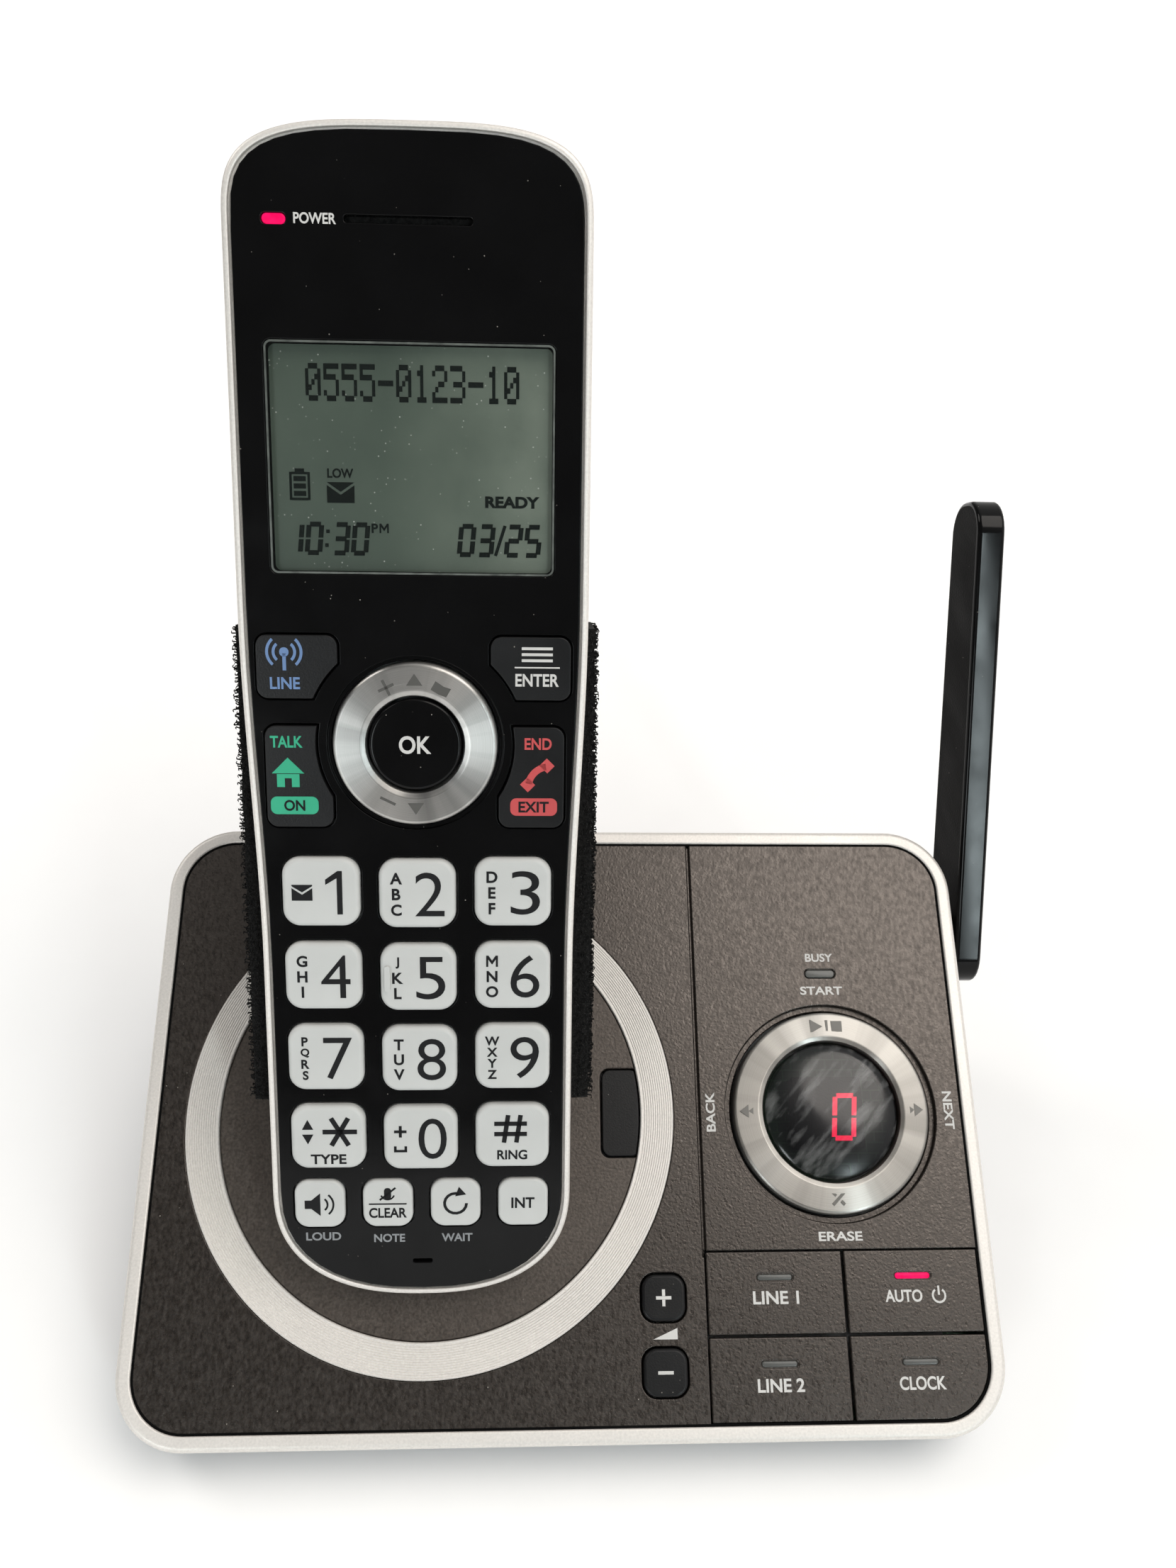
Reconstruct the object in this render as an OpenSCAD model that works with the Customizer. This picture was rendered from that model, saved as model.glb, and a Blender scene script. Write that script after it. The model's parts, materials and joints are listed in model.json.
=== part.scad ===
// Cordless telephone: a handset that stands in the cradle of an answering-machine base.
// Millimetres, +Z up, +Y to the back, +X to the right as the user sees it.
// The origin lies on the table, under the middle of the front rubber foot.

/* [Base] */
// Width of the base across its face
base_w = 142.6; // [138:0.2:160]
// Length of the base's face along its slope
base_l = 101.9; // [98:0.1:120]
// Slope of the base's face above the table, in degrees
face_tilt = 30; // [26:1:34]
// Height of the base's front wall, square to the face
front_h = 12; // [11:0.5:18]
// Corner radius of the base's face
face_r = 11.4; // [9:0.2:16]
// Width of the silver bezel round the face
bezel_w = 2.4; // [1.8:0.1:3.2]
// Depth of the bezel below the face
bezel_d = 6; // [5.6:0.2:8]
// Height of the bezel above the face
bezel_rise = 0.4; // [0.2:0.1:1]
// Width of the ledge inside the bezel that carries the panel
ledge_w = 2; // [1.6:0.1:3]
// Wall of the base's lower shell
base_wall = 2.2; // [1.8:0.1:3]
// Thickness of the black face panel
panel_t = 2.2; // [1.8:0.1:2.6]
// Radius of the upright edges at the base's back
rear_r = 10; // [6:0.5:14]
// Height of the rubber feet
foot_h = 1.2; // [0.8:0.1:2]

/* [Cradle] */
// Outer radius of the silver circle round the cradle
circle_r = 41.3; // [40:0.1:43]
// Width of the silver circle
circle_w = 5.6; // [4:0.1:7]
// Height of the silver circle above the face
circle_rise = 0.4; // [0.2:0.1:1]
// Distance from the panel's left edge to the silver circle
circle_margin = 4.7; // [3:0.1:6]
// Space between the silver circle and the control area
circle_space = 4.4; // [3:0.1:6]
// Distance from the silver circle's inner edge to the handset's foot
foot_space = 7.2; // [6:0.1:9]
// Height of the handset's front foot edge above the face
foot_rise = 6; // [5:0.1:8]
// Angle of the handset above the face's slope, in degrees
lean = 32.8; // [31:0.1:35]
// Gap between the handset's foot and its pocket
pocket_gap = 0.5; // [0.4:0.05:0.8]
// Wall of the cradle's pocket
well_wall = 2; // [1.6:0.1:2.6]
// Width of the rest behind the handset
rest_w = 32; // [24:1:40]
// Thickness of the rest behind the handset
rest_t = 5; // [3:0.5:8]
// Height of the rest along the handset's back, from the handset's foot
rest_up = 50; // [40:1:52]

/* [Base controls] */
// Height of each flat key below the control ring
flat_key_h = 13.05; // [12:0.05:13.4]
// Thickness of the flat keys' plates
flat_key_t = 1.2; // [1:0.1:1.3]
// Outer radius of the control ring
dial_r = 17; // [16:0.1:18]
// Inner radius of the control ring
dial_bore = 11.9; // [11:0.1:13]
// Space between the control ring and the sides of the control area
dial_margin = 6.05; // [5:0.05:8]
// Width of the dark recess round the control ring
dial_recess = 1.4; // [1:0.1:2]
// Side of the two volume keys
volume_side = 7.1; // [6:0.1:8]
// Distance between the volume keys' centres
volume_pitch = 11.1; // [10:0.1:12]
// Distance from the lower volume key's centre to the panel's lower edge
volume_up = 7.9; // [7:0.1:9]
// Distance from the volume keys' centres to the control area
volume_in = 7.05; // [6:0.05:8]
// Width of the handset-finder key
find_w = 6.4; // [5:0.1:7]
// Length of the handset-finder key
find_l = 14.4; // [12:0.1:16]

/* [Antenna] */
// Length of the antenna from its pivot to its tip
antenna_l = 83.4; // [70:0.1:110]
// Length of the antenna behind its pivot
antenna_root = 6.6; // [6:0.1:9]
// Width of the antenna at its pivot
antenna_w = 16.6; // [14:0.1:18]
// Width of the antenna at its tip
antenna_tip_w = 14.4; // [12:0.1:16]
// Thickness of the antenna
antenna_t = 5; // [4:0.1:7]
// Angle of the raised antenna above the table, in degrees
antenna_tilt = 60; // [50:1:80]
// Place of the antenna's pivot up the slope from the face's centre
pivot_up = 33; // [28:0.5:36]
// Depth of the antenna's pivot below the face
pivot_d = 13; // [12.5:0.5:16]
// Radius of the antenna's pivot pin
pivot_r = 3; // [2.5:0.1:3.5]

/* [Handset] */
// Length of the handset from the navigation ring's centre to the top
hand_up = 82.7; // [80:0.1:90]
// Length of the handset from the navigation ring's centre to the foot
hand_down = 88.3; // [86:0.1:92]
// Half width of the handset at the display
upper_half = 24.65; // [24:0.05:26]
// Half width of the handset at the number keys
lower_half = 22.95; // [22.8:0.05:24]
// Thickness of the handset
hand_t = 26; // [25:0.5:30]
// Width of the silver band as seen from the front
band_w = 1.2; // [0.9:0.05:1.4]
// Depth of the silver band
band_d = 9; // [8.5:0.25:10]
// Thickness of the handset's black front
front_t = 2.2; // [2:0.1:2.4]
// Wall of the handset's rear shell
hand_wall = 1.8; // [1.4:0.1:2.2]
// Radius of the rear shell's long edges
back_r = 8; // [6:0.5:9]
// Radius of the rear shell's ends
end_r = 9; // [6:0.5:9]
// Height of the hook-and-loop strips above the handset's widest sides
strip_t = 2.05; // [1.4:0.05:3.4]
// Length of the hook-and-loop strips
strip_l = 73; // [60:1:80]

/* [Handset keys] */
// Space between the number keys and the silver band
key_margin = 2.125; // [1.9:0.025:3]
// Space between neighbouring number keys in a row
key_space_x = 2.75; // [2.6:0.05:3.2]
// Space between neighbouring number keys in a column
key_space_y = 2.55; // [2.4:0.05:3]
// Height of the number keys above the front
key_rise = 1; // [0.6:0.1:1.6]
// Travel of a pressed key
key_travel = 0.8; // [0.5:0.05:0.8]
// Space between the small keys of the lowest row and the silver band's sides
small_margin = 2.225; // [2:0.025:3]
// Space between neighbouring small keys
small_space = 2.75; // [2.6:0.05:3.2]
// Height of the small keys
small_h = 7.9; // [7:0.1:8]
// Distance from the handset's foot to the small keys' centres
small_up = 16.1; // [16:0.1:17]
// Space between the small keys and the number keys
row_space = 2; // [1.8:0.05:3]
// Outer radius of the navigation ring
nav_r = 11.75; // [11:0.05:12]
// Inner radius of the navigation ring
nav_bore = 7; // [6:0.1:8]
// Space between the display window and the handset's sides
window_side = 5; // [4:0.1:7]
// Distance from the handset's top to the display window
window_top = 27.7; // [26:0.1:30]

/* [Hidden] */
$fn = 64;

// Clearances
key_gap = 0.25;
fit = 0.1;
run_fit = 0.05;
over = 1;
reach = 200;

// Face of the base: its centre is where the face frame stands
panel_w = base_w - 2 * bezel_w;
panel_l = base_l - 2 * bezel_w;
panel_r = face_r - bezel_w;
foot_in = 12;
foot_w = 8;
foot_end = 16.3;
foot_l = base_w - 2 * foot_end;
front_y = -foot_in - front_h * sin(face_tilt);
face_y = front_y + base_l / 2 * cos(face_tilt);
face_z = foot_h + front_h * cos(face_tilt) + base_l / 2 * sin(face_tilt);
back_y = front_y + base_l * cos(face_tilt) + bezel_d * sin(face_tilt);
floor_z = foot_h + base_wall;

// Spaces across the face, which share what the circle and the control ring leave of its width
spare_w = panel_w - 2 * circle_r - 2 * dial_r;
space_fit = spare_w / (circle_margin + circle_space + 2 * dial_margin);

// Cradle
cradle_x = -panel_w / 2 + circle_margin * space_fit + circle_r;
circle_t = 0.8;
circle_bore = circle_r - circle_w;
joint_r = circle_r - circle_w / 2;
foot_up = -circle_bore + foot_space;
well_half = lower_half + pocket_gap + well_wall;

// Base controls
divider_x = cradle_x + circle_r + circle_space * space_fit;
control_w = panel_w / 2 - divider_x;
divider_w = 0.6;
dial_x = divider_x + control_w / 2;
flat_top = -panel_l / 2 + 2 * flat_key_h;
flat_gap = 0.4;
base_stem = 4.3;
stem_r = 2.5;
dial_top = 1;
dial_flange = 1.2;
dial_flange_z = [-3.7, -2.9];
lens_gap = 0.4;
lens_wall = 1.2;
lens_dome = 1.6;
counter_gap = 1.8;
counter_drop = 0.4;
counter_side = sqrt(2) * (dial_bore - lens_gap - lens_wall - counter_gap);
board_t = 1.6;
base_mat_t = 0.8;
base_board_top = -bezel_d;
base_mat_top = base_board_top + base_mat_t;
board_gap = 1.45;
board_left = cradle_x + well_half + board_gap;
volume_r = 2.2;
volume_rise = 0.6;
find_r = 1.5;
lamp_d = 0.4;
slot_lamp = [6, 1.1];
use_lamp = [5.5, 1.6];
use_lamp_up = 7.1;
use_lamp_y = dial_r + use_lamp_up;
lamp_drop = 4.2;

// Antenna
antenna_gap = 1.8;
pivot_boss_r = 5.5;
pivot_boss_l = 6;
pivot_collar = 1;
pivot_y = face_y + pivot_up * cos(face_tilt) + pivot_d * sin(face_tilt);
tip_r = 6;
edge_r = 1.4;
edge_steps = 4;

// Inside of the base
post_r = 2.4;
post_gap = 2.3;
screw_in = 5;
screw_front = 2;
screw_y = [screw_front, pivot_y - pivot_boss_r - post_r - post_gap];
screw_r = 1;
screw_head_r = 2.4;
screw_head_h = 1.4;
screw_l = 10;
speaker_r = 20;
speaker_back = 30;
speaker_in = 33.3;
speaker_x = base_w / 2 - base_wall - speaker_in;
speaker_y = back_y - base_wall - speaker_back;
speaker_rim_h = 3;
magnet_r = 11;
magnet_h = 9;
power_in = 19.3;
power_x = -base_w / 2 + power_in;
power_size = [10, 13, 11];
power_r = 2.85;
power_mouth = 4;
power_step_r = 2.6;
power_depth = 10;
power_pin_r = 1;
plug_room = 2;
line_in = 41.3;
line_x = -base_w / 2 + line_in;
line_size = [14, 15, 12];
line_socket = [9.9, 11.5, 6.9];
window_gap = 0.6;

// Handset
cap_steps = 10;
taper_steps = 6;
taper_y = [-34, 20];
top_cap = 14;
top_power = 3.5;
foot_cap = 18;
foot_power = 2.4;
rear_in = 0.4;
hand_ledge_w = 0.7;
hand_ledge_t = 1;
soft_upper = [6.5, 15.5];
cell_l = 44.5;
cell_room = 0.675;
tray_gap = 0.3;
case_screw_head = [1.8, 1.5];
case_screw_up = 4.9;
case_top_y = soft_upper[1] + case_screw_up;
cell_start = case_top_y - case_screw_head[0] - tray_gap;
screw_line = cell_l - cell_start + cell_room + case_screw_head[0];
nav_recess = 0.9;
nav_recess_d = 0.6;
nav_top = 0.9;
nav_flange = 0.7;
nav_flange_z = [-3.4, -2.8];
key_flange = 0.7;
key_flange_t = 0.8;
key_foot = -(front_t + fit + key_flange_t);
number_r = 2.6;
small_r = 2.2;
row_arc = 0.25;
small_y = -hand_down + small_up;
small_count = 4;
number_cols = 3;
number_rows = 4;
small_pitch = (lower_half - band_w - small_margin + small_space / 2) / (small_count / 2);
small_w = small_pitch - small_space;
rows_end = -small_y - small_h / 2 - row_space;
pitch_x = (lower_half - band_w - key_margin + key_space_x / 2) / (number_cols / 2);
pitch_y = (rows_end - screw_line + key_space_y / 2) / (number_rows - 1);
row_drop = screw_line - pitch_y / 2;
key_w = pitch_x - key_space_x;
key_h = pitch_y - key_space_y;
soft_margin = 1;
soft_rise = 0.5;
soft_r = 1.6;
soft_upper_in = 10.8;
soft_upper_bite = 15.8;
soft_lower = [-12.2, 2.6];
soft_lower_in = 11.9;
soft_lower_bite = 14.2;
window_low = 8.5;
window_end = hand_up - window_top;
window_w = 2 * (upper_half - window_side);
window_h = window_end - soft_upper[1] - window_low;
window_y = window_end - window_h / 2;
window_t = 1.5;
window_r = 1;
window_lip = 1.2;
window_sink = 0.1;
module_over = 0.8;
hand_board_top = -5.6;
hand_mat_t = 1;
hand_mat_top = hand_board_top + hand_mat_t;
dome_r = 2.4;
dome_gap = 0.05;
pillar_r = 1.3;
pillar_up = [8.7, 3.2];
pillar_x = [9, 17];
pillars = [
    [pillar_x[0], -hand_down + pillar_up[0]],
    [pillar_x[1], window_end + pillar_up[1]]
];
board_in = 4.4;
board_end = [6.1, 5.4];
board_end_y = [-hand_down + board_end[0], window_end + board_end[1]];
mat_in = 2.55;
mat_half = lower_half - mat_in;
mat_over = [0.65, 1.1];
mat_y = [small_y - small_h / 2 - mat_over[0], soft_upper[1] + mat_over[1]];
ear_drop = 12.35;
ear_y = hand_up - ear_drop;
ear_slot = [17, 1.05];
ear_r = 9;
ear_t = 3;
charge_lamp = [3.3, 1.5];
charge_lamp_drop = 12.5;
charge_lamp_at = [-17.75, hand_up - charge_lamp_drop];
mic_up = 6;
mic_y = -hand_down + mic_up;
mic_slot = [3, 0.65];
mic_r = 2.6;
mic_t = 2;

// Battery, its tray and its door
cell_r = 5.2;
cell_wrap = 0.2;
tray_wall = 1.2;
tray_front = -11.4;
tray_floor = tray_front - tray_wall;
door_w = 32;
door_r = 4;
door_gap = 0.25;
door_end = [5.325, 5.6];
door_y = [-screw_line - door_end[0], case_top_y + door_end[1]];
door_l = door_y[1] - door_y[0];
door_ledge = 2;
boss_r = 1.8;
case_screw_r = 0.75;
case_screw_l = 7;
case_screws = [
    [0, case_top_y],
    [pitch_x / 2, -screw_line],
    [-pitch_x / 2, -screw_line]
];
tray_y = [door_y[0] + door_ledge, door_y[1] - door_ledge];

// Charging contacts
contact_x = 7;
contact_size = [4, 1.6, 5];
contact_z = -14;
contact_in = 1;
contact_y = -hand_down + contact_in;
leaf_size = [2, 4.4, 1.2];
leaf_gap = 0.25;

// Hook-and-loop strips on the handset's sides
strip_half = upper_half + strip_t;
strip_up = 31.8;
strip_y = -hand_down + strip_up;
strip_z = [-17, -3];

// Colours
jet = "#141315";
charcoal = "#2b2928";
silver = "#b9b6b0";
spun = "#c9c9c9";
key_grey = "#c6c8c6";
rubber_black = "#1b1b1b";
board_green = "#2f6b45";
steel = "#9a9ca0";
gold = "#c8a85a";
mat_grey = "#8d9194";

number_keys = [
    "key_1", "key_2", "key_3", "key_4", "key_5", "key_6",
    "key_7", "key_8", "key_9", "key_star", "key_0", "key_hash"
];
small_keys = ["key_speaker", "key_mute", "key_redial", "key_intercom"];
soft_keys = ["soft_key_left", "soft_key_right", "talk_key", "end_key"];
flat_keys = ["line_key_1", "answer_key", "line_key_2", "setup_key"];
volume_keys = ["volume_down_key", "volume_up_key"];

// Places children from the frame of the base's face, whose centre is the panel's centre
module on_face() {
    translate([0, face_y, face_z]) rotate([face_tilt, 0, 0]) children();
}

// Places children from the handset's frame, whose centre is the navigation ring's centre
module on_handset() {
    on_face()
        translate([cradle_x, foot_up, foot_rise])
            rotate([lean, 0, 0]) translate([0, hand_down, 0]) children();
}

// Rectangle with round corners
module rounded(size, r) {
    square([size[0] - 2 * r, size[1]], center = true);
    square([size[0], size[1] - 2 * r], center = true);
    for (x = [-1, 1], y = [-1, 1])
        translate([x * (size[0] / 2 - r), y * (size[1] / 2 - r)]) circle(r);
}

// Slab of a flat shape between two heights
module slab(low, high) {
    translate([0, 0, low]) linear_extrude(high - low) children();
}

// Slab of the base's face, drawn in by an inset
module face_slab(inset, low, high) {
    slab(low, high) rounded([base_w - 2 * inset, base_l - 2 * inset], face_r - inset);
}

// Solid wedge below the bezel, drawn in by an inset, with round upright edges at the back
module base_form(inset) {
    intersection() {
        on_face() face_slab(inset, -reach, -bezel_d + (inset > 0 ? over : 0));
        translate([0, back_y - reach / 2, 0])
            slab(foot_h + inset, reach) rounded([base_w - 2 * inset, reach - 2 * inset], rear_r - inset);
    }
}

// Places children at the four case screws of the base
module at_base_screws() {
    for (x = [-1, 1], y = screw_y)
        translate([x * (base_w / 2 - screw_in), y, foot_h]) children();
}

// Places children at the antenna's pivot, with Z along the pin to the right
module at_pivot() {
    on_face() translate([base_w / 2, pivot_up, -pivot_d]) rotate([0, 90, 0]) children();
}

// Handset's half width at a height, without its round ends
function blend(t) = let (u = min(max(t, 0), 1)) u * u * (3 - 2 * u);
function side_half(y) =
    lower_half + (upper_half - lower_half) * blend((y - taper_y[0]) / (taper_y[1] - taper_y[0]));

// Quarter of a round end, from its side to its middle
function end_curve(half, height, power) = [
    for (i = [0:cap_steps]) let (a = 90 * i / cap_steps)
        [half * pow(cos(a), 2 / power), height * pow(sin(a), 2 / power)]
];

// Right edge of the handset's outline from foot to top, drawn in by an inset
function right_edge(inset) = let (
    foot = end_curve(lower_half - inset, foot_cap - inset, foot_power),
    top = end_curve(upper_half - inset, top_cap - inset, top_power)
) concat(
    [for (i = [cap_steps:-1:0]) [foot[i][0], -hand_down + foot_cap - foot[i][1]]],
    [for (i = [0:taper_steps]) let (y = taper_y[0] + (taper_y[1] - taper_y[0]) * i / taper_steps)
        [side_half(y) - inset, y]],
    [for (p = top) [p[0], hand_up - top_cap + p[1]]]
);

// Handset's outline, drawn in by an inset
module outline(inset) {
    right = right_edge(inset);
    left = [for (i = [len(right) - 2:-1:1]) [-right[i][0], right[i][1]]];
    polygon(concat(right, left));
}

// Flat shape with its two lower corners round, from a depth up to a height
module round_back(half, depth, r, height) {
    translate([-half, -depth + r]) square([2 * half, depth - r + height]);
    translate([-half + r, -depth]) square([2 * (half - r), depth]);
    for (x = [-1, 1]) translate([x * (half - r), -depth + r]) circle(r);
}

// Solid of the handset's rear, drawn in by an inset, up to a height
module rear_form(inset, height) {
    middle = (hand_up - hand_down) / 2;
    half_l = (hand_up + hand_down) / 2 - inset;
    depth = hand_t + rear_in - inset;
    intersection() {
        slab(-hand_t - over, height) outline(inset);
        translate([0, reach / 2, 0]) rotate([90, 0, 0])
            linear_extrude(reach) round_back(upper_half, depth, back_r - inset / 2, reach);
        translate([-reach / 2, middle, 0]) rotate([90, 0, 90])
            linear_extrude(reach) round_back(half_l, depth, end_r - inset / 2, reach);
    }
}

// Space that the handset's foot slides into
module pocket() {
    half = lower_half + pocket_gap;
    slab(-hand_t - pocket_gap, reach) {
        outline(-pocket_gap);
        translate([-half, -hand_down + foot_cap]) square([2 * half, reach]);
    }
}

// Lower shell of the base, a hollow wedge
module base_shell() {
    seat_wall = 1.6;
    seat_rise = 1;
    head_gap = 0.2;
    color(charcoal) difference() {
        union() {
            difference() {
                base_form(0);
                base_form(base_wall);
            }
            translate([speaker_x, speaker_y, floor_z]) difference() {
                cylinder(r = speaker_r + fit + seat_wall, h = speaker_rim_h + seat_rise);
                translate([0, 0, -over]) cylinder(r = speaker_r + fit, h = reach);
            }
            at_pivot() translate([0, 0, -pivot_boss_l]) cylinder(r = pivot_boss_r, h = pivot_boss_l);
        }
        at_pivot() translate([0, 0, -reach / 2])
            cylinder(r = pivot_r + run_fit, h = reach);
        at_base_screws() {
            translate([0, 0, -over]) cylinder(r = screw_head_r + head_gap, h = over + screw_head_h + fit);
            cylinder(r = screw_r + head_gap, h = base_wall + over);
        }
        speaker_slots();
        translate([power_x, back_y - base_wall - over, floor_z + power_size[2] / 2]) rotate([-90, 0, 0])
            cylinder(r = power_r + plug_room, h = reach);
        translate([line_x - line_socket[0] / 2 - window_gap, back_y - base_wall - over,
                   floor_z + (line_size[2] - line_socket[2]) / 2 - window_gap])
            cube([line_socket[0] + 2 * window_gap, reach, line_socket[2] + 2 * window_gap]);
    }
}

// Sound slots through the floor below the loudspeaker
module speaker_slots() {
    slot_w = 1.6;
    slot_pitch = 4;
    count = 3;
    for (i = [-count:count])
        translate([speaker_x - magnet_r, speaker_y + i * slot_pitch - slot_w / 2, 0])
            cube([2 * magnet_r, slot_w, floor_z + over]);
}

// Silver frame round the face, with a ledge for the panel and four screw posts
module base_bezel() {
    color(silver) difference() {
        union() {
            on_face() difference() {
                face_slab(0, -bezel_d, bezel_rise);
                face_slab(bezel_w, -panel_t, reach);
                face_slab(bezel_w + ledge_w, -reach, reach);
            }
            intersection() {
                at_base_screws() translate([0, 0, base_wall]) cylinder(r = post_r, h = reach);
                on_face() face_slab(bezel_w, -reach, -panel_t - flat_key_t);
            }
        }
        at_base_screws() cylinder(r = screw_r + fit, h = screw_l + base_wall);
    }
}

// Black face panel, open at the cradle, the control ring and the keys
module face_panel() {
    ring_gap = 0.4;
    color(charcoal) on_face() difference() {
        slab(-panel_t, 0) rounded([panel_w - 2 * fit, panel_l - 2 * fit], panel_r - fit);
        translate([divider_x, -panel_l, -reach / 2])
            cube([panel_w, panel_l + flat_top, reach]);
        translate([cradle_x, 0, -reach / 2]) cylinder(r = joint_r, h = reach);
        translate([cradle_x, 0, -circle_t]) cylinder(r = circle_r + fit, h = reach);
        translate([dial_x, 0, -reach / 2]) cylinder(r = dial_r + ring_gap, h = reach);
        translate([dial_x, 0, -panel_t / 2]) cylinder(r = dial_r + dial_recess, h = reach);
        for (i = [0, 1]) slab(-reach / 2, reach) volume_outline(i, key_gap);
        translate([divider_x - divider_w / 2, flat_top - over, -panel_t / 3])
            cube([divider_w, panel_l, reach]);
        translate([dial_x, use_lamp_y, 0]) slab(-lamp_d, over) rounded(use_lamp, use_lamp[1] / 2 - fit);
    }
}

// Silver circle round the cradle
module cradle_circle() {
    color(silver) on_face() translate([cradle_x, 0, -circle_t]) difference() {
        cylinder(r = circle_r, h = circle_t + circle_rise);
        translate([0, 0, -over]) cylinder(r = circle_bore, h = reach);
    }
}

// Cradle inside the circle: a disc with the handset's pocket and the rest behind it
module cradle_well() {
    rest_front = -hand_t - pocket_gap;
    color(jet) difference() {
        union() {
            on_face() translate([cradle_x, 0, -panel_t]) cylinder(r = joint_r - fit, h = panel_t);
            intersection() {
                on_handset()
                    translate([-well_half, -hand_down - pocket_gap - well_wall, rest_front - well_wall])
                        cube([2 * well_half, reach / 2, reach / 2]);
                on_face() translate([cradle_x, 0, -reach / 2]) cylinder(r = joint_r - fit, h = reach / 2);
            }
            intersection() {
                on_handset() translate([-rest_w / 2, -hand_down, rest_front - rest_t])
                    cube([rest_w, rest_up, rest_t]);
                on_face() translate([cradle_x, 0, -panel_t]) cylinder(r = joint_r - fit, h = reach);
            }
        }
        on_handset() pocket();
        on_face() {
            translate([cradle_x, 0, -circle_t]) difference() {
                cylinder(r = circle_r, h = circle_t + over);
                translate([0, 0, -over]) cylinder(r = circle_bore - fit, h = reach);
            }
            slab(-reach / 2, reach) find_outline(key_gap);
        }
        on_handset() for (x = [-1, 1]) translate([x * contact_x, 0, 0]) leaf(fit);
    }
}

// One sprung charging contact of the cradle, grown by a gap
module leaf(gap) {
    size = [for (s = leaf_size) s + 2 * gap];
    translate([0, contact_y - leaf_gap - leaf_size[1] / 2, contact_z]) cube(size, center = true);
}

// Sprung charging contacts in the pocket's floor
module cradle_contacts() {
    color(gold) on_handset() for (x = [-1, 1]) translate([x * contact_x, 0, 0]) leaf(0);
}

// Circuit board below the face, held under the bezel's ledge
module base_board() {
    wall_gap = 0.3;
    color(board_green) difference() {
        intersection() {
            base_form(base_wall + wall_gap);
            on_face() translate([board_left, -reach / 2, base_board_top - board_t])
                cube([reach, reach, board_t]);
        }
        at_base_screws() cylinder(r = post_r + wall_gap, h = reach);
        at_pivot() translate([0, 0, -reach / 2]) cylinder(r = pivot_boss_r + wall_gap, h = reach);
    }
}

// Silicone key mat on the base's board
module base_key_mat() {
    board_edge = 1;
    post_room = 0.9;
    top_room = 3;
    left = board_left + board_edge;
    right = base_w / 2 - screw_in - post_r - post_room;
    inset = ledge_w + fit;
    color(mat_grey) on_face() slab(base_board_top, base_mat_top) difference() {
        intersection() {
            rounded([panel_w - 2 * inset, panel_l - 2 * inset], panel_r - inset);
            translate([left, -reach]) square([right - left, reach + dial_r + top_room]);
        }
        translate([dial_x, 0]) circle(dial_bore - lens_gap + fit);
    }
}

// Seven-segment message counter on the base's board
module message_display() {
    color(jet) on_face() translate([dial_x, 0])
        slab(base_board_top, -lens_wall - counter_drop) square(counter_side, center = true);
}

// Dark domed cap over the message counter
module message_lens() {
    r = dial_bore - lens_gap;
    dome_steps = 6;
    dome = [for (i = [0:dome_steps]) let (a = 90 * i / dome_steps) [r * sin(90 - a), lens_dome * sin(a)]];
    color(jet) on_face() translate([dial_x, 0, 0]) rotate_extrude() polygon(concat(
        [[0, -lens_wall], [r - lens_wall, -lens_wall]],
        [[r - lens_wall, base_board_top], [r, base_board_top]],
        dome
    ));
}

// Loudspeaker on the base's floor
module base_speaker() {
    color(steel) translate([speaker_x, speaker_y, floor_z]) {
        cylinder(r = speaker_r, h = speaker_rim_h);
        cylinder(r = magnet_r, h = speaker_rim_h + magnet_h);
    }
}

// End of the antenna, with two round corners
module antenna_end(half, r) {
    for (y = [-1, 1]) translate([0, y * (half - r)]) circle(r);
    translate([0, r - half]) square([r, 2 * (half - r)]);
}

// Side of the antenna with its root and its tip, drawn in by an inset
module antenna_side(inset) {
    r = tip_r - inset;
    root_half = antenna_w / 2 - inset;
    tip_half = antenna_tip_w / 2 - inset;
    root = tip_r - antenna_root;
    tip = antenna_l - tip_r;
    polygon([[root, -root_half], [tip, -tip_half], [tip, tip_half], [root, root_half]]);
    translate([tip, 0]) antenna_end(tip_half, r);
    translate([root, 0]) rotate(180) antenna_end(root_half, r);
}

// Antenna paddle with the pin that turns in the base's side
module antenna() {
    turn = 90 + antenna_tilt - face_tilt;
    collar_r = pivot_r + pivot_collar;
    color(jet) at_pivot() {
        rotate(turn) translate([0, 0, antenna_gap])
            for (i = [0:edge_steps]) let (a = 90 * i / edge_steps, z = edge_r * (1 - cos(a)))
                slab(z, antenna_t - z) antenna_side(edge_r * (1 - sin(a)));
        translate([0, 0, -pivot_boss_l - fit - pivot_collar])
            cylinder(r = pivot_r, h = pivot_boss_l + pivot_collar + fit + antenna_gap + antenna_t / 2);
        translate([0, 0, -pivot_boss_l - fit - pivot_collar]) cylinder(r = collar_r, h = pivot_collar);
        translate([0, 0, fit]) cylinder(r = pivot_boss_r, h = antenna_gap);
    }
}

// Front and rear rubber feet
module rubber_feet() {
    rear_y = back_y - foot_in;
    color(rubber_black) for (y = [0, rear_y])
        translate([0, y, 0]) slab(0, foot_h) rounded([foot_l, foot_w], foot_w / 2 - fit);
}

// Screws that hold the lower shell to the bezel's posts
module base_screws() {
    color(steel) at_base_screws() translate([0, 0, fit]) {
        cylinder(r = screw_head_r, h = screw_head_h);
        cylinder(r = screw_r, h = screw_l);
    }
}

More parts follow.
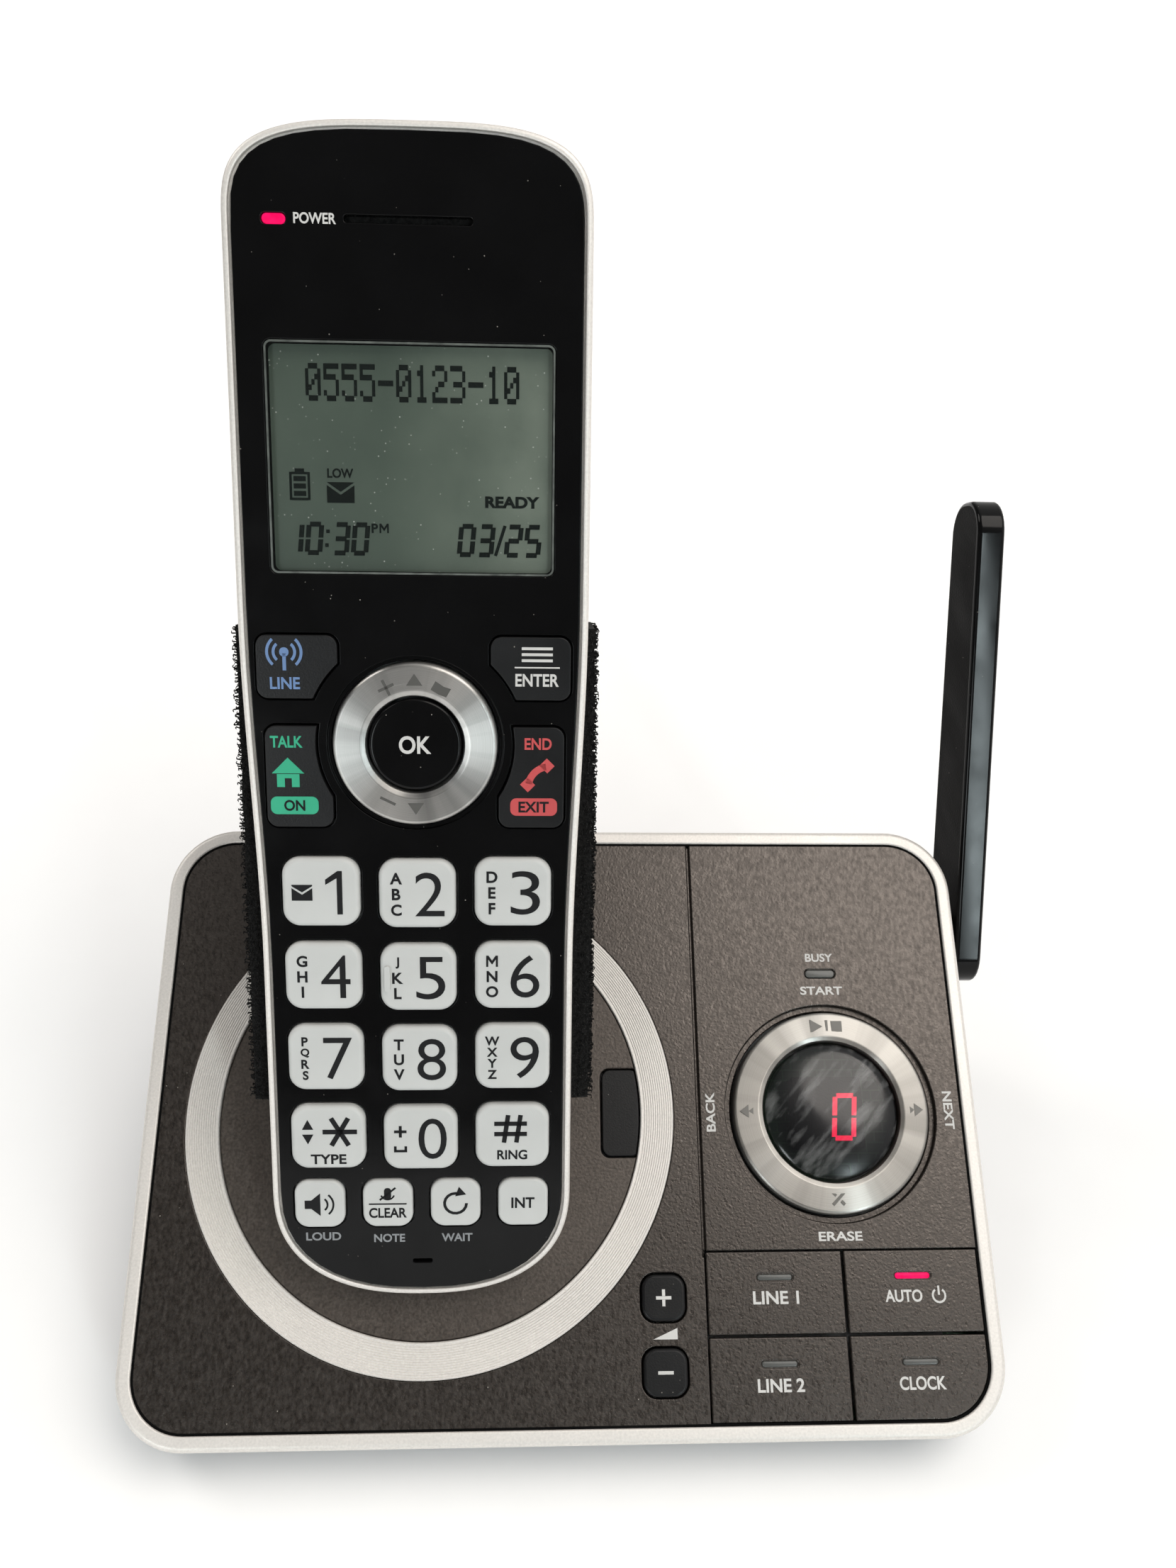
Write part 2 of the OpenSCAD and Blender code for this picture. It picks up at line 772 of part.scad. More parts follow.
// Socket for the mains adapter's barrel plug
module power_jack() {
    color(jet) translate([power_x, back_y - base_wall - power_size[1], floor_z + power_size[2] / 2]) {
        difference() {
            translate([-power_size[0] / 2, 0, -power_size[2] / 2]) cube(power_size);
            translate([0, power_size[1] - power_mouth, 0]) rotate([-90, 0, 0])
                cylinder(r = power_r, h = reach);
            translate([0, power_size[1] - power_depth, 0]) rotate([-90, 0, 0])
                cylinder(r = power_step_r, h = power_depth);
        }
        translate([0, power_size[1] - power_depth - over, 0]) rotate([-90, 0, 0])
            cylinder(r = power_pin_r, h = over + power_depth - power_mouth - fit);
    }
}

// Socket for the telephone line's modular plug
module line_jack() {
    color(jet) translate([line_x, back_y - base_wall - line_size[1], floor_z]) difference() {
        translate([-line_size[0] / 2, 0, 0]) cube(line_size);
        translate([-line_socket[0] / 2, line_size[1] - line_socket[1], (line_size[2] - line_socket[2]) / 2])
            cube([line_socket[0], reach, line_socket[2]]);
    }
}

// Round key ring with a flange below the surface that it stands in
module press_ring(r, bore, top, flange, flange_z) {
    bevel = 0.5;
    rotate_extrude() polygon([
        [bore, flange_z[0]], [r + flange, flange_z[0]], [r + flange, flange_z[1]], [r, flange_z[1]],
        [r, top - bevel], [r - bevel, top], [bore + bevel, top - bevel / 2], [bore, top - bevel]
    ]);
}

// Ring of the answering machine's controls
module control_ring() {
    color(spun) on_face() translate([dial_x, 0, 0])
        press_ring(dial_r, dial_bore, dial_top, dial_flange, dial_flange_z);
}

// Handset-finder key's outline, grown by a gap
module find_outline(gap) {
    right = cradle_x + circle_bore - key_gap;
    intersection() {
        translate([right - find_w / 2, 0])
            rounded([find_w + 2 * gap, find_l + 2 * gap], find_r);
        translate([cradle_x, 0]) circle(circle_bore - key_gap + gap);
    }
}

// Handset-finder key inside the circle
module find_key() {
    color(jet) on_face() {
        slab(-flat_key_t, 0) find_outline(0);
        translate([cradle_x + circle_bore - find_w / 2, 0, -base_stem])
            cylinder(r = stem_r, h = base_stem - flat_key_t);
    }
}

// One of the four flat keys below the control ring
module flat_key(i) {
    col = i % 2;
    row = floor(i / 2);
    cell_w = control_w / 2;
    middle = [divider_x + (col + 0.5) * cell_w, flat_top - (row + 0.5) * flat_key_h];
    color(charcoal) on_face() {
        difference() {
            slab(-flat_key_t, 0) intersection() {
                translate(middle) square([cell_w - flat_gap, flat_key_h - flat_gap], center = true);
                rounded([panel_w - 2 * flat_gap, panel_l - 2 * flat_gap], panel_r - flat_gap);
            }
            translate([middle[0], middle[1] + flat_key_h / 2 - lamp_drop, 0])
                slab(-lamp_d, over) rounded(slot_lamp, slot_lamp[1] / 2 - fit);
        }
        translate([middle[0], middle[1], -base_stem]) cylinder(r = stem_r, h = base_stem - flat_key_t);
    }
}

// Volume key's outline, grown by a gap
module volume_outline(i, gap) {
    translate([divider_x - volume_in, -panel_l / 2 + volume_up + i * volume_pitch])
        rounded([volume_side + 2 * gap, volume_side + 2 * gap], volume_r + gap);
}

// One of the two volume keys
module volume_key(i) {
    color(jet) on_face() slab(-base_stem, volume_rise) volume_outline(i, 0);
}

// Places children at one number key's centre
module at_number(i) {
    col = i % 3 - 1;
    row = floor(i / 3);
    translate([col * pitch_x, -row_drop - row * pitch_y + abs(col) * row_arc]) children();
}

// Places children at one small key's centre
module at_small(i) {
    translate([(i - 1.5) * small_pitch, small_y]) children();
}

// Soft key's outline beside the navigation ring, grown by a gap
module soft_outline(i, gap) {
    lower = i > 1;
    span = lower ? soft_lower : soft_upper;
    inner = lower ? soft_lower_in : soft_upper_in;
    bite = lower ? soft_lower_bite : soft_upper_bite;
    outer = side_half(span[0]) - band_w - soft_margin;
    mirror([1 - i % 2, 0]) intersection() {
        difference() {
            translate([(outer + inner) / 2, (span[0] + span[1]) / 2])
                rounded([outer - inner + 2 * gap, span[1] - span[0] + 2 * gap], soft_r + gap);
            circle(bite - gap);
        }
        outline(band_w + hand_ledge_w + fit);
    }
}

// Number key's outline, grown by a gap
module number_outline(gap) {
    rounded([key_w + 2 * gap, key_h + 2 * gap], number_r + gap);
}

// Small key's outline, grown by a gap
module small_outline(gap) {
    rounded([small_w + 2 * gap, small_h + 2 * gap], small_r + gap);
}

// One number key with the flange that keeps it behind the front
module number_key(i) {
    color(key_grey) on_handset() at_number(i) {
        slab(key_foot, key_rise) number_outline(0);
        slab(key_foot, key_foot + key_flange_t) number_outline(key_flange);
    }
}

// One small key of the lowest row
module small_key(i) {
    color(key_grey) on_handset() at_small(i) {
        slab(key_foot, soft_rise) small_outline(0);
        slab(key_foot, key_foot + key_flange_t) small_outline(key_flange);
    }
}

// One soft key beside the navigation ring
module soft_key(i) {
    color(jet) on_handset() {
        slab(key_foot, soft_rise) soft_outline(i, 0);
        slab(key_foot, key_foot + key_flange_t) soft_outline(i, key_flange);
    }
}

// Navigation ring of the handset
module navigation_ring() {
    color(spun) on_handset() press_ring(nav_r, nav_bore, nav_top, nav_flange, nav_flange_z);
}

// Key in the middle of the navigation ring
module select_key() {
    ring_gap = 0.35;
    color(jet) on_handset() slab(nav_flange_z[0], nav_top) circle(nav_bore - ring_gap);
}

// Black front of the handset, with its key holes, pillars and screw bosses
module handset_front() {
    ring_gap = 0.35;
    color(jet) on_handset() difference() {
        union() {
            slab(-front_t, 0) outline(band_w + fit);
            for (p = pillars, s = [-1, 1])
                translate([s * p[0], p[1]]) slab(hand_board_top, -front_t) circle(pillar_r);
            for (p = case_screws) translate(p) slab(tray_front, -front_t) circle(boss_r);
        }
        slab(-reach, reach) {
            for (i = [0:11]) at_number(i) number_outline(key_gap);
            for (i = [0:3]) at_small(i) small_outline(key_gap);
            for (i = [0:3]) soft_outline(i, key_gap);
            circle(nav_r + ring_gap);
            translate([0, window_y])
                rounded([window_w - 2 * window_lip, window_h - 2 * window_lip], window_r);
            translate([0, ear_y]) rounded(ear_slot, ear_slot[1] / 2 - fit);
            translate([0, mic_y]) rounded(mic_slot, mic_slot[1] / 2 - fit);
        }
        slab(-nav_recess_d, over) circle(nav_r + nav_recess);
        translate([0, window_y, 0]) slab(-window_t - window_sink, over)
            rounded([window_w + 2 * fit, window_h + 2 * fit], window_r + fit);
        translate(charge_lamp_at) slab(-lamp_d, over) rounded(charge_lamp, charge_lamp[1] / 2 - fit);
        for (p = case_screws) translate(p)
            slab(tray_front - over, -front_t - over) circle(case_screw_r + fit);
    }
}

// Silver band round the handset, with a ledge that carries the front
module handset_band() {
    color(silver) on_handset() difference() {
        slab(-band_d, 0) outline(0);
        slab(-front_t, over) outline(band_w);
        slab(-front_t - hand_ledge_t, over) outline(band_w + hand_ledge_w);
        slab(-reach, -front_t - hand_ledge_t) outline(band_w);
    }
}

// Rear shell of the handset, with the battery's tray
module handset_rear_shell() {
    back = -hand_t + hand_wall;
    tray_w = 4 * cell_r + 4 * cell_wrap + 2 * tray_gap;
    tray_mid = (tray_y[0] + tray_y[1]) / 2;
    tray_l = tray_y[1] - tray_y[0];
    color(charcoal) on_handset() difference() {
        union() {
            difference() {
                rear_form(rear_in, -band_d);
                rear_form(rear_in + hand_wall, -band_d + over);
            }
            translate([0, tray_mid]) {
                slab(back, tray_front)
                    square([tray_w + 2 * tray_wall, tray_l + 2 * tray_wall], center = true);
                slab(back, back + tray_wall)
                    square([door_w + 2 * door_ledge, door_l + 2 * door_ledge], center = true);
            }
        }
        translate([0, tray_mid]) {
            slab(-reach, tray_floor) square([tray_w, tray_l], center = true);
            slab(-reach, back)
                rounded([door_w + 2 * door_gap, door_l + 2 * door_gap], door_r + door_gap);
        }
        for (p = case_screws) translate(p) slab(-reach, reach) circle(case_screw_r + fit);
        for (x = [-1, 1]) translate([x * contact_x, 0, 0]) contact(fit);
    }
}

// Battery door in the handset's back
module battery_door() {
    grip_w = 12;
    grip_l = 1;
    grip_d = 0.5;
    grips = 5;
    back = -hand_t;
    color(charcoal) on_handset() translate([0, (door_y[0] + door_y[1]) / 2]) difference() {
        slab(back, back + hand_wall - fit) rounded([door_w, door_l], door_r);
        for (i = [0:grips - 1])
            translate([0, door_l / 4 + 2 * grip_l * i])
                slab(back - over, back + grip_d) square([grip_w, grip_l], center = true);
    }
}

// Two wrapped cells in the tray
module battery_pack() {
    across = cell_r + cell_wrap;
    middle = tray_floor - fit - across;
    color("#3f6fa8") on_handset() translate([0, cell_start, middle]) rotate([90, 0, 0]) {
        for (x = [-1, 1]) translate([x * across, 0, 0]) cylinder(r = across, h = cell_l);
        translate([-across, -across, 0]) cube([2 * across, 2 * across, cell_l]);
    }
}

// Clear window over the display
module display_window() {
    color("#8fa69a") on_handset() translate([0, window_y, 0])
        slab(-window_t - window_sink, -window_sink) rounded([window_w, window_h], window_r);
}

// Liquid-crystal display below the window
module display_module() {
    color("#6b7a70") on_handset() translate([0, window_y, 0])
        slab(hand_board_top, -front_t - fit)
            square([window_w + 2 * module_over, window_h + 2 * module_over], center = true);
}

// Circuit board of the handset, held against the front's pillars
module handset_board() {
    boss_gap = 0.4;
    color(board_green) on_handset() difference() {
        intersection() {
            slab(hand_board_top - board_t, hand_board_top) outline(board_in);
            translate([-reach / 2, board_end_y[0], -reach / 2])
                cube([reach, board_end_y[1] - board_end_y[0], reach]);
        }
        for (p = case_screws) translate(p) slab(-reach, reach) circle(boss_r + boss_gap);
    }
}

// Earpiece receiver behind the sound slot
module earpiece() {
    color(steel) on_handset() translate([0, ear_y]) slab(-front_t - ear_t, -front_t) circle(ear_r);
}

// Microphone capsule on the handset's board
module microphone() {
    color(steel) on_handset() translate([0, mic_y + mic_r])
        slab(hand_board_top, hand_board_top + mic_t) circle(mic_r);
}

// Silicone key mat of the handset, with a dome below each key
module handset_key_mat() {
    boss_gap = 0.4;
    dome_top = key_foot - key_travel - dome_gap;
    color(mat_grey) on_handset() difference() {
        union() {
            translate([-mat_half, mat_y[0], hand_board_top])
                cube([2 * mat_half, mat_y[1] - mat_y[0], hand_mat_t]);
            slab(hand_mat_top - fit, dome_top) {
                for (i = [0:11]) at_number(i) circle(dome_r);
                for (i = [0:3]) at_small(i) circle(dome_r);
            }
        }
        for (p = case_screws) translate(p) slab(-reach, reach) circle(boss_r + boss_gap);
    }
}

// Charging contact of the handset, grown by a gap
module contact(gap) {
    size = [for (s = contact_size) s + 2 * gap];
    translate([0, contact_y + contact_size[1] / 2, contact_z])
        cube(size, center = true);
    if (gap > 0)
        translate([0, contact_y - over, contact_z]) cube([size[0], 2 * over, size[2]], center = true);
}

// Charging contacts in the handset's foot
module handset_contacts() {
    color(gold) on_handset() for (x = [-1, 1]) translate([x * contact_x, 0, 0]) contact(0);
}

// Screws in the battery tray that hold the handset's halves together
module handset_screws() {
    color(steel) on_handset() for (p = case_screws) translate(p) {
        slab(tray_floor - case_screw_head[1], tray_floor) circle(case_screw_head[0]);
        slab(tray_floor, tray_floor + case_screw_l) circle(case_screw_r);
    }
}

// Strips of hook-and-loop tape stuck along the handset's sides
module hook_and_loop_strips() {
    color(rubber_black) on_handset() for (s = [0, 1]) mirror([s, 0, 0]) difference() {
        translate([0, strip_y, strip_z[0]]) cube([strip_half, strip_l, strip_z[1] - strip_z[0]]);
        slab(-reach, reach) outline(-fit);
    }
}

base_shell();
base_bezel();
face_panel();
cradle_circle();
cradle_well();
cradle_contacts();
base_board();
base_key_mat();
message_display();
message_lens();
base_speaker();
antenna();
rubber_feet();
base_screws();
power_jack();
line_jack();
control_ring();
find_key();
for (i = [0:3]) flat_key(i);
for (i = [0:1]) volume_key(i);
handset_front();
handset_band();
handset_rear_shell();
battery_door();
battery_pack();
display_window();
display_module();
handset_board();
earpiece();
microphone();
handset_key_mat();
handset_contacts();
handset_screws();
hook_and_loop_strips();
navigation_ring();
select_key();
for (i = [0:3]) soft_key(i);
for (i = [0:3]) small_key(i);
for (i = [0:11]) number_key(i);
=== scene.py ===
import json
import random
from math import cos, pi, radians, sin, tau

import bmesh
import bpy
from mathutils import Matrix, Vector


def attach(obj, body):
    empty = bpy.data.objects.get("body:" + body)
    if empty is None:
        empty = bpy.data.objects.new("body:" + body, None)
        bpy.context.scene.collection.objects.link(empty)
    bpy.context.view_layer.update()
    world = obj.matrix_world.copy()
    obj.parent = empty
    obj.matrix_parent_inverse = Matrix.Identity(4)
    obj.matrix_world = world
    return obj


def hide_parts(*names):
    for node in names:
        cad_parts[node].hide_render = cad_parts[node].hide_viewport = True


# Looks of a cordless telephone: a handset that stands in the cradle of an answering-machine base.
# Sizes are millimetres in two frames: the base's sloping face and the handset's front.
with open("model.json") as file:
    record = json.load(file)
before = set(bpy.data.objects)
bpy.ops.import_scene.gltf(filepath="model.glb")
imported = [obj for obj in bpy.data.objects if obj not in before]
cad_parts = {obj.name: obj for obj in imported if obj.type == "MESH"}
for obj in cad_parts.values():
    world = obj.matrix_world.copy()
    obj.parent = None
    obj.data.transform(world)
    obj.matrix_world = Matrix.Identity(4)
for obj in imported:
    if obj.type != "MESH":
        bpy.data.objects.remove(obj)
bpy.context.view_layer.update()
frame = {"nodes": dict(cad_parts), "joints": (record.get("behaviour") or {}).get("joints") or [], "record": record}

MM = 0.001
RECORD = frame["record"]
JOINTS = {joint["name"]: joint for joint in frame["joints"]}
BODY_OF = {node: body for body, nodes in RECORD["behaviour"]["bodies"].items() for node in nodes}
SLOT_OF = {part["node"]: part["material_slot"] for part in RECORD["subparts"]}

# Depth of the rings' tilt axes below the surfaces that they stand in
PIVOT_DEPTH = 1.0


def surface_frame(ring, key):
    """Frame at a ring's centre: x to the right, y up the surface, z out of it."""
    out = -Vector(JOINTS[key + "_press"]["axis"])
    right = Vector((1, 0, 0))
    up = out.cross(right)
    centre = Vector(JOINTS[ring + "_tilt"]["pos_m"]) + out * PIVOT_DEPTH * MM
    return Matrix.Translation(centre) @ Matrix((right, up, out)).transposed().to_4x4()


DIAL = surface_frame("control_ring", "find_key")
DIAL_X = DIAL.translation.x / MM
FACE = Matrix.Translation((-DIAL.translation.x, 0, 0)) @ DIAL
HAND = surface_frame("navigation_ring", "select_key")
CRADLE_X = HAND.translation.x / MM

# Base
BASE_W = 142.6
BASE_L = 101.9
BASE_R = 11.4
BEZEL_W = 2.4
BEZEL_D = 6.0
BEZEL_RISE = 0.4
PANEL_T = 2.2
CIRCLE_R = 41.3
CIRCLE_W = 5.6
CIRCLE_T = 0.8
CIRCLE_RISE = 0.4
DIAL_R = 17.0
DIAL_BORE = 11.9
DIAL_TOP = 1.0
DIAL_FALL = 0.35
DIAL_FOOT = -3.7
LENS_R = 11.5
LENS_DOME = 1.6
CONTROL_W = 46.1
FLAT_H = 13.05
FLAT_TOP = -22.45
FLAT_LEFT = 22.8
LAMP_DROP = 4.2
VOLUME_GAP = 7.05
VOLUME_Y = -40.65
VOLUME_PITCH = 11.1
VOLUME_RISE = 0.6
COUNTER_Z = -1.6
SHELL_FOOT = 2.0
ANTENNA_L = 83.4
ANTENNA_ROOT = 6.6
ANTENNA_W = 16.6
ANTENNA_TIP_W = 14.4
ANTENNA_T = 5.0
ANTENNA_GAP = 1.8
ANTENNA_TILT = 60
TIP_R = 6.0
HUB_R = 5.5
PIN_R = 3.0
PIN_L = 7.0

# Handset
HAND_UP = 82.7
HAND_DOWN = 88.3
UPPER_HALF = 24.65
LOWER_HALF = 22.95
TAPER_Y = (-34, 20)
TOP_CAP = 14
TOP_POWER = 3.5
FOOT_CAP = 18
FOOT_POWER = 2.4
BAND_W = 1.2
BAND_D = 9.0
FRONT_T = 2.2
NAV_R = 11.75
NAV_BORE = 7.0
NAV_TOP = 0.9
NAV_FOOT = -3.4
RING_GAP = 0.35
SELECT_R = NAV_BORE - RING_GAP
PITCH_X = 14.0
PITCH_Y = 12.95
ROW_DROP = 22.2
ROW_ARC = 0.25
KEY_W = 11.25
KEY_H = 10.4
KEY_R = 2.6
KEY_RISE = 1.0
KEY_EDGE = 0.75
KEY_FOOT = -3.1
KEY_FLANGE = 0.7
KEY_FLANGE_T = 0.8
SMALL_PITCH = 10.45
SMALL_W = 7.7
SMALL_H = 7.9
SMALL_R = 2.2
SMALL_Y = -72.2
SMALL_EDGE = 0.45
SOFT_RISE = 0.5
SIDE_SIGN_X = -3.05
WINDOW_W = 39.3
WINDOW_H = 31.0
WINDOW_Y = 39.5
LCD_Z = -1.5
STRIP_HALF = 26.7
STRIP_Y = (-56.5, 16.5)
STRIP_Z = (-17.0, -3.0)

# Prints stand this far out of the surface that carries them
INK = 0.03

NUMBER_KEYS = ["key_" + digit for digit in "123456789"] + ["key_star", "key_0", "key_hash"]
SMALL_KEYS = ["key_speaker", "key_mute", "key_redial", "key_intercom"]
SOFT_KEYS = ["soft_key_left", "soft_key_right", "talk_key", "end_key"]
FLAT_KEYS = ["line_key_1", "answer_key", "line_key_2", "setup_key"]
VOLUME_KEYS = ["volume_down_key", "volume_up_key"]


# Materials

def blank(name, **fixed):
    """New material and its shader, with constant values set on the shader's own sockets."""
    look = bpy.data.materials.new(name)
    look.use_nodes = True
    shader = look.node_tree.nodes["Principled BSDF"]
    for socket, value in fixed.items():
        shader.inputs[socket.replace("_", " ")].default_value = value
    return look, shader


def node(look, kind, inputs=(), **settings):
    """Adds a node. Inputs are pairs of a socket and a value or an output to link."""
    made = look.node_tree.nodes.new("ShaderNode" + kind)
    for name, value in settings.items():
        setattr(made, name, value)
    for socket, value in inputs:
        if isinstance(value, bpy.types.NodeSocket):
            look.node_tree.links.new(value, made.inputs[socket])
        else:
            made.inputs[socket].default_value = value
    return made


def link(look, output, socket):
    look.node_tree.links.new(output, socket)


def place(look):
    """Place on the surface, in metres."""
    return node(look, "TexCoord").outputs["Object"]


def cloud(look, scale, detail=3.0, stretch=(1, 1, 1), turn=0.0):
    """Noise with features of about one metre divided by the scale, stretched along an angle in radians."""
    turned = node(look, "VectorRotate", [("Vector", place(look)), ("Angle", turn)])
    mapped = node(look, "Mapping", [("Vector", turned.outputs[0]), ("Scale", stretch)])
    made = node(look, "TexNoise", [("Vector", mapped.outputs[0]), ("Scale", scale), ("Detail", detail)])
    return made.outputs["Fac"]


def spread(look, value, low=0.0, high=1.0, start=0.3, end=0.7):
    """Maps a value from start to end onto low to high."""
    made = node(look, "MapRange", [("Value", value), ("From Min", start), ("From Max", end),
                                       ("To Min", low), ("To Max", high)])
    return made.outputs[0]


def mixed(look, share, first, second):
    """Mix of two colours."""
    return node(look, "Mix", [(0, share), (6, first), (7, second)], data_type="RGBA").outputs[2]


def maths(look, operation, *values):
    """Result of a sum or product."""
    return node(look, "Math", list(enumerate(values)), operation=operation).outputs[0]


def bumped(look, shader, height, depth):
    """Raises the shaded surface by a height, over a depth in millimetres."""
    bump = node(look, "Bump", [("Height", height), ("Distance", depth * MM), ("Strength", 1.0)])
    link(look, bump.outputs[0], shader.inputs["Normal"])


DUST = (0.30, 0.28, 0.25, 1)
# Marks left by wiping are four times as long as wide
WIPED = (1, 0.25, 1)


def shade(colour, factor):
    """Colour made lighter or darker."""
    return tuple(min(1.0, c * factor) for c in colour) + (1.0,)


def specks(look, scale, size=0.05):
    """Share that is up to 1 on scattered fine specks and 0 elsewhere."""
    cells = node(look, "TexVoronoi", [("Vector", place(look)), ("Scale", scale)])
    chosen = spread(look, cloud(look, scale / 3.0), start=0.46, end=0.6)
    dots = spread(look, cells.outputs["Distance"], 1.0, 0.0, size * 0.5, size)
    return maths(look, "MULTIPLY", chosen, dots)


def finish(name, colour, rough, mottle=0.12, grain=None, dust=None, wipe=0.06, brush=140, spot=90,
           smear=None, **fixed):
    """Moulded or painted finish: mottled colour and wiped gloss, with grain, dust or smears on some."""
    smear_scale = 520
    smear_turn = 0.75
    look, shader = blank(name, **fixed)
    tone = mixed(look, spread(look, cloud(look, spot)), shade(colour, 1 - mottle),
                 shade(colour, 1 + mottle))
    gloss = spread(look, cloud(look, brush, 5.0, WIPED), rough - wipe, rough + wipe)
    if smear:
        marks = cloud(look, smear_scale, 8.0, WIPED, smear_turn)
        tone = mixed(look, spread(look, marks, start=0.5, end=0.72), tone, shade(smear, 1))
    if dust:
        tone = mixed(look, specks(look, dust), tone, DUST)
    link(look, tone, shader.inputs["Base Color"])
    link(look, gloss, shader.inputs["Roughness"])
    if grain:
        scale, depth = grain
        bumped(look, shader, cloud(look, scale, 2.0), depth)
    return look


def spun_metal(name, colour, turn=0.0):
    """Metal turned on a lathe: fine rings, and painted shade in sectors that fan out from the centre.
    The painted shade stands in for the dark sectors of its reflection, and can be turned by an angle in radians."""
    ring_scale = 9000.0
    ring_depth = 0.004
    painted_sector_scale = 2.2
    look, shader = blank(name, Metallic=1.0, Anisotropic=0.85, Anisotropic_Rotation=0.25)
    axes = node(look, "SeparateXYZ", [("Vector", place(look))])
    level = node(look, "CombineXYZ", [("X", axes.outputs["X"]), ("Y", axes.outputs["Y"])])
    radius = node(look, "VectorMath", [(0, level.outputs[0])], operation="LENGTH")
    rings = node(look, "TexNoise", [("W", radius.outputs["Value"]), ("Scale", ring_scale),
                                        ("Detail", 2.0)], noise_dimensions="1D")
    tone = mixed(look, rings.outputs["Fac"], shade(colour, 0.8), shade(colour, 1.2))
    outward = node(look, "VectorMath", [(0, level.outputs[0])], operation="NORMALIZE")
    turned = node(look, "VectorRotate", [("Vector", outward.outputs[0]), ("Angle", turn)])
    # Painted shade: sectors darkened in colour, standing in for the dark sectors of the reflection
    painted_sectors = node(look, "TexNoise", [("Vector", turned.outputs[0]), ("Scale", painted_sector_scale), ("Detail", 5.0)])
    sector_shade = spread(look, painted_sectors.outputs["Fac"], 0.0, 0.45, 0.45, 0.6)
    tone = mixed(look, sector_shade, tone, shade(colour, 0.35))
    link(look, tone, shader.inputs["Base Color"])
    link(look, spread(look, rings.outputs["Fac"], 0.28, 0.40), shader.inputs["Roughness"])
    tangent = node(look, "Tangent", direction_type="RADIAL", axis="Z")
    link(look, tangent.outputs[0], shader.inputs["Tangent"])
    bumped(look, shader, rings.outputs["Fac"], ring_depth)
    return look


def lit(name, colour, strength, edge):
    """Lamp or display segment that glows, a little uneven over its lens."""
    look, shader = blank(name, Roughness=0.3, Emission_Strength=strength, Specular_IOR_Level=0.1)
    tone = mixed(look, spread(look, cloud(look, 900)), colour + (1,), edge + (1,))
    link(look, tone, shader.inputs["Emission Color"])
    link(look, mixed(look, 0.1, (0, 0, 0, 1), tone), shader.inputs["Base Color"])
    return look


def display_glass(name):
    """Grey-green display with faint blotches and dust, and painted sheen that makes it lighter in patches towards
    its right.
    """
    dark = (0.055, 0.080, 0.060, 1)
    pale = (0.085, 0.115, 0.088, 1)
    painted_sheen = (0.21, 0.25, 0.20, 1)
    speck = (0.50, 0.52, 0.48, 1)
    look, shader = blank(name, Roughness=0.42)
    tone = mixed(look, spread(look, cloud(look, 55, 4.0)), dark, pale)
    axes = node(look, "SeparateXYZ", [("Vector", place(look))])
    rightward = spread(look, axes.outputs["X"], start=-0.004, end=0.018)
    patches = spread(look, cloud(look, 90, 5.0), 0.3, 1.0)
    # Painted sheen: paler tone in patches, growing towards the right
    tone = mixed(look, maths(look, "MULTIPLY", rightward, patches), tone, painted_sheen)
    tone = mixed(look, specks(look, 1000, 0.13), tone, speck)
    link(look, tone, shader.inputs["Base Color"])
    return look


def board(name):
    """Solder mask with paler copper tracks below it."""
    look, shader = blank(name, Roughness=0.35)
    bricks = node(look, "TexBrick", [("Vector", place(look)), ("Scale", 160.0),
                                         ("Color1", (0.02, 0.13, 0.05, 1)), ("Color2", (0.03, 0.17, 0.07, 1)),
                                         ("Mortar", (0.06, 0.25, 0.10, 1))])
    link(look, bricks.outputs["Color"], shader.inputs["Base Color"])
    return look


def tape_weave(name):
    """Rough black pile of the hook-and-loop tape."""
    look, shader = blank(name, Roughness=0.9, Sheen_Weight=0.06, Sheen_Roughness=0.5,
                             Specular_IOR_Level=0.15)
    pile = spread(look, cloud(look, 1500, 4.0))
    tone = mixed(look, pile, (0.001, 0.001, 0.001, 1), (0.014, 0.0135, 0.013, 1))
    link(look, tone, shader.inputs["Base Color"])
    bumped(look, shader, pile, 0.25)
    return look
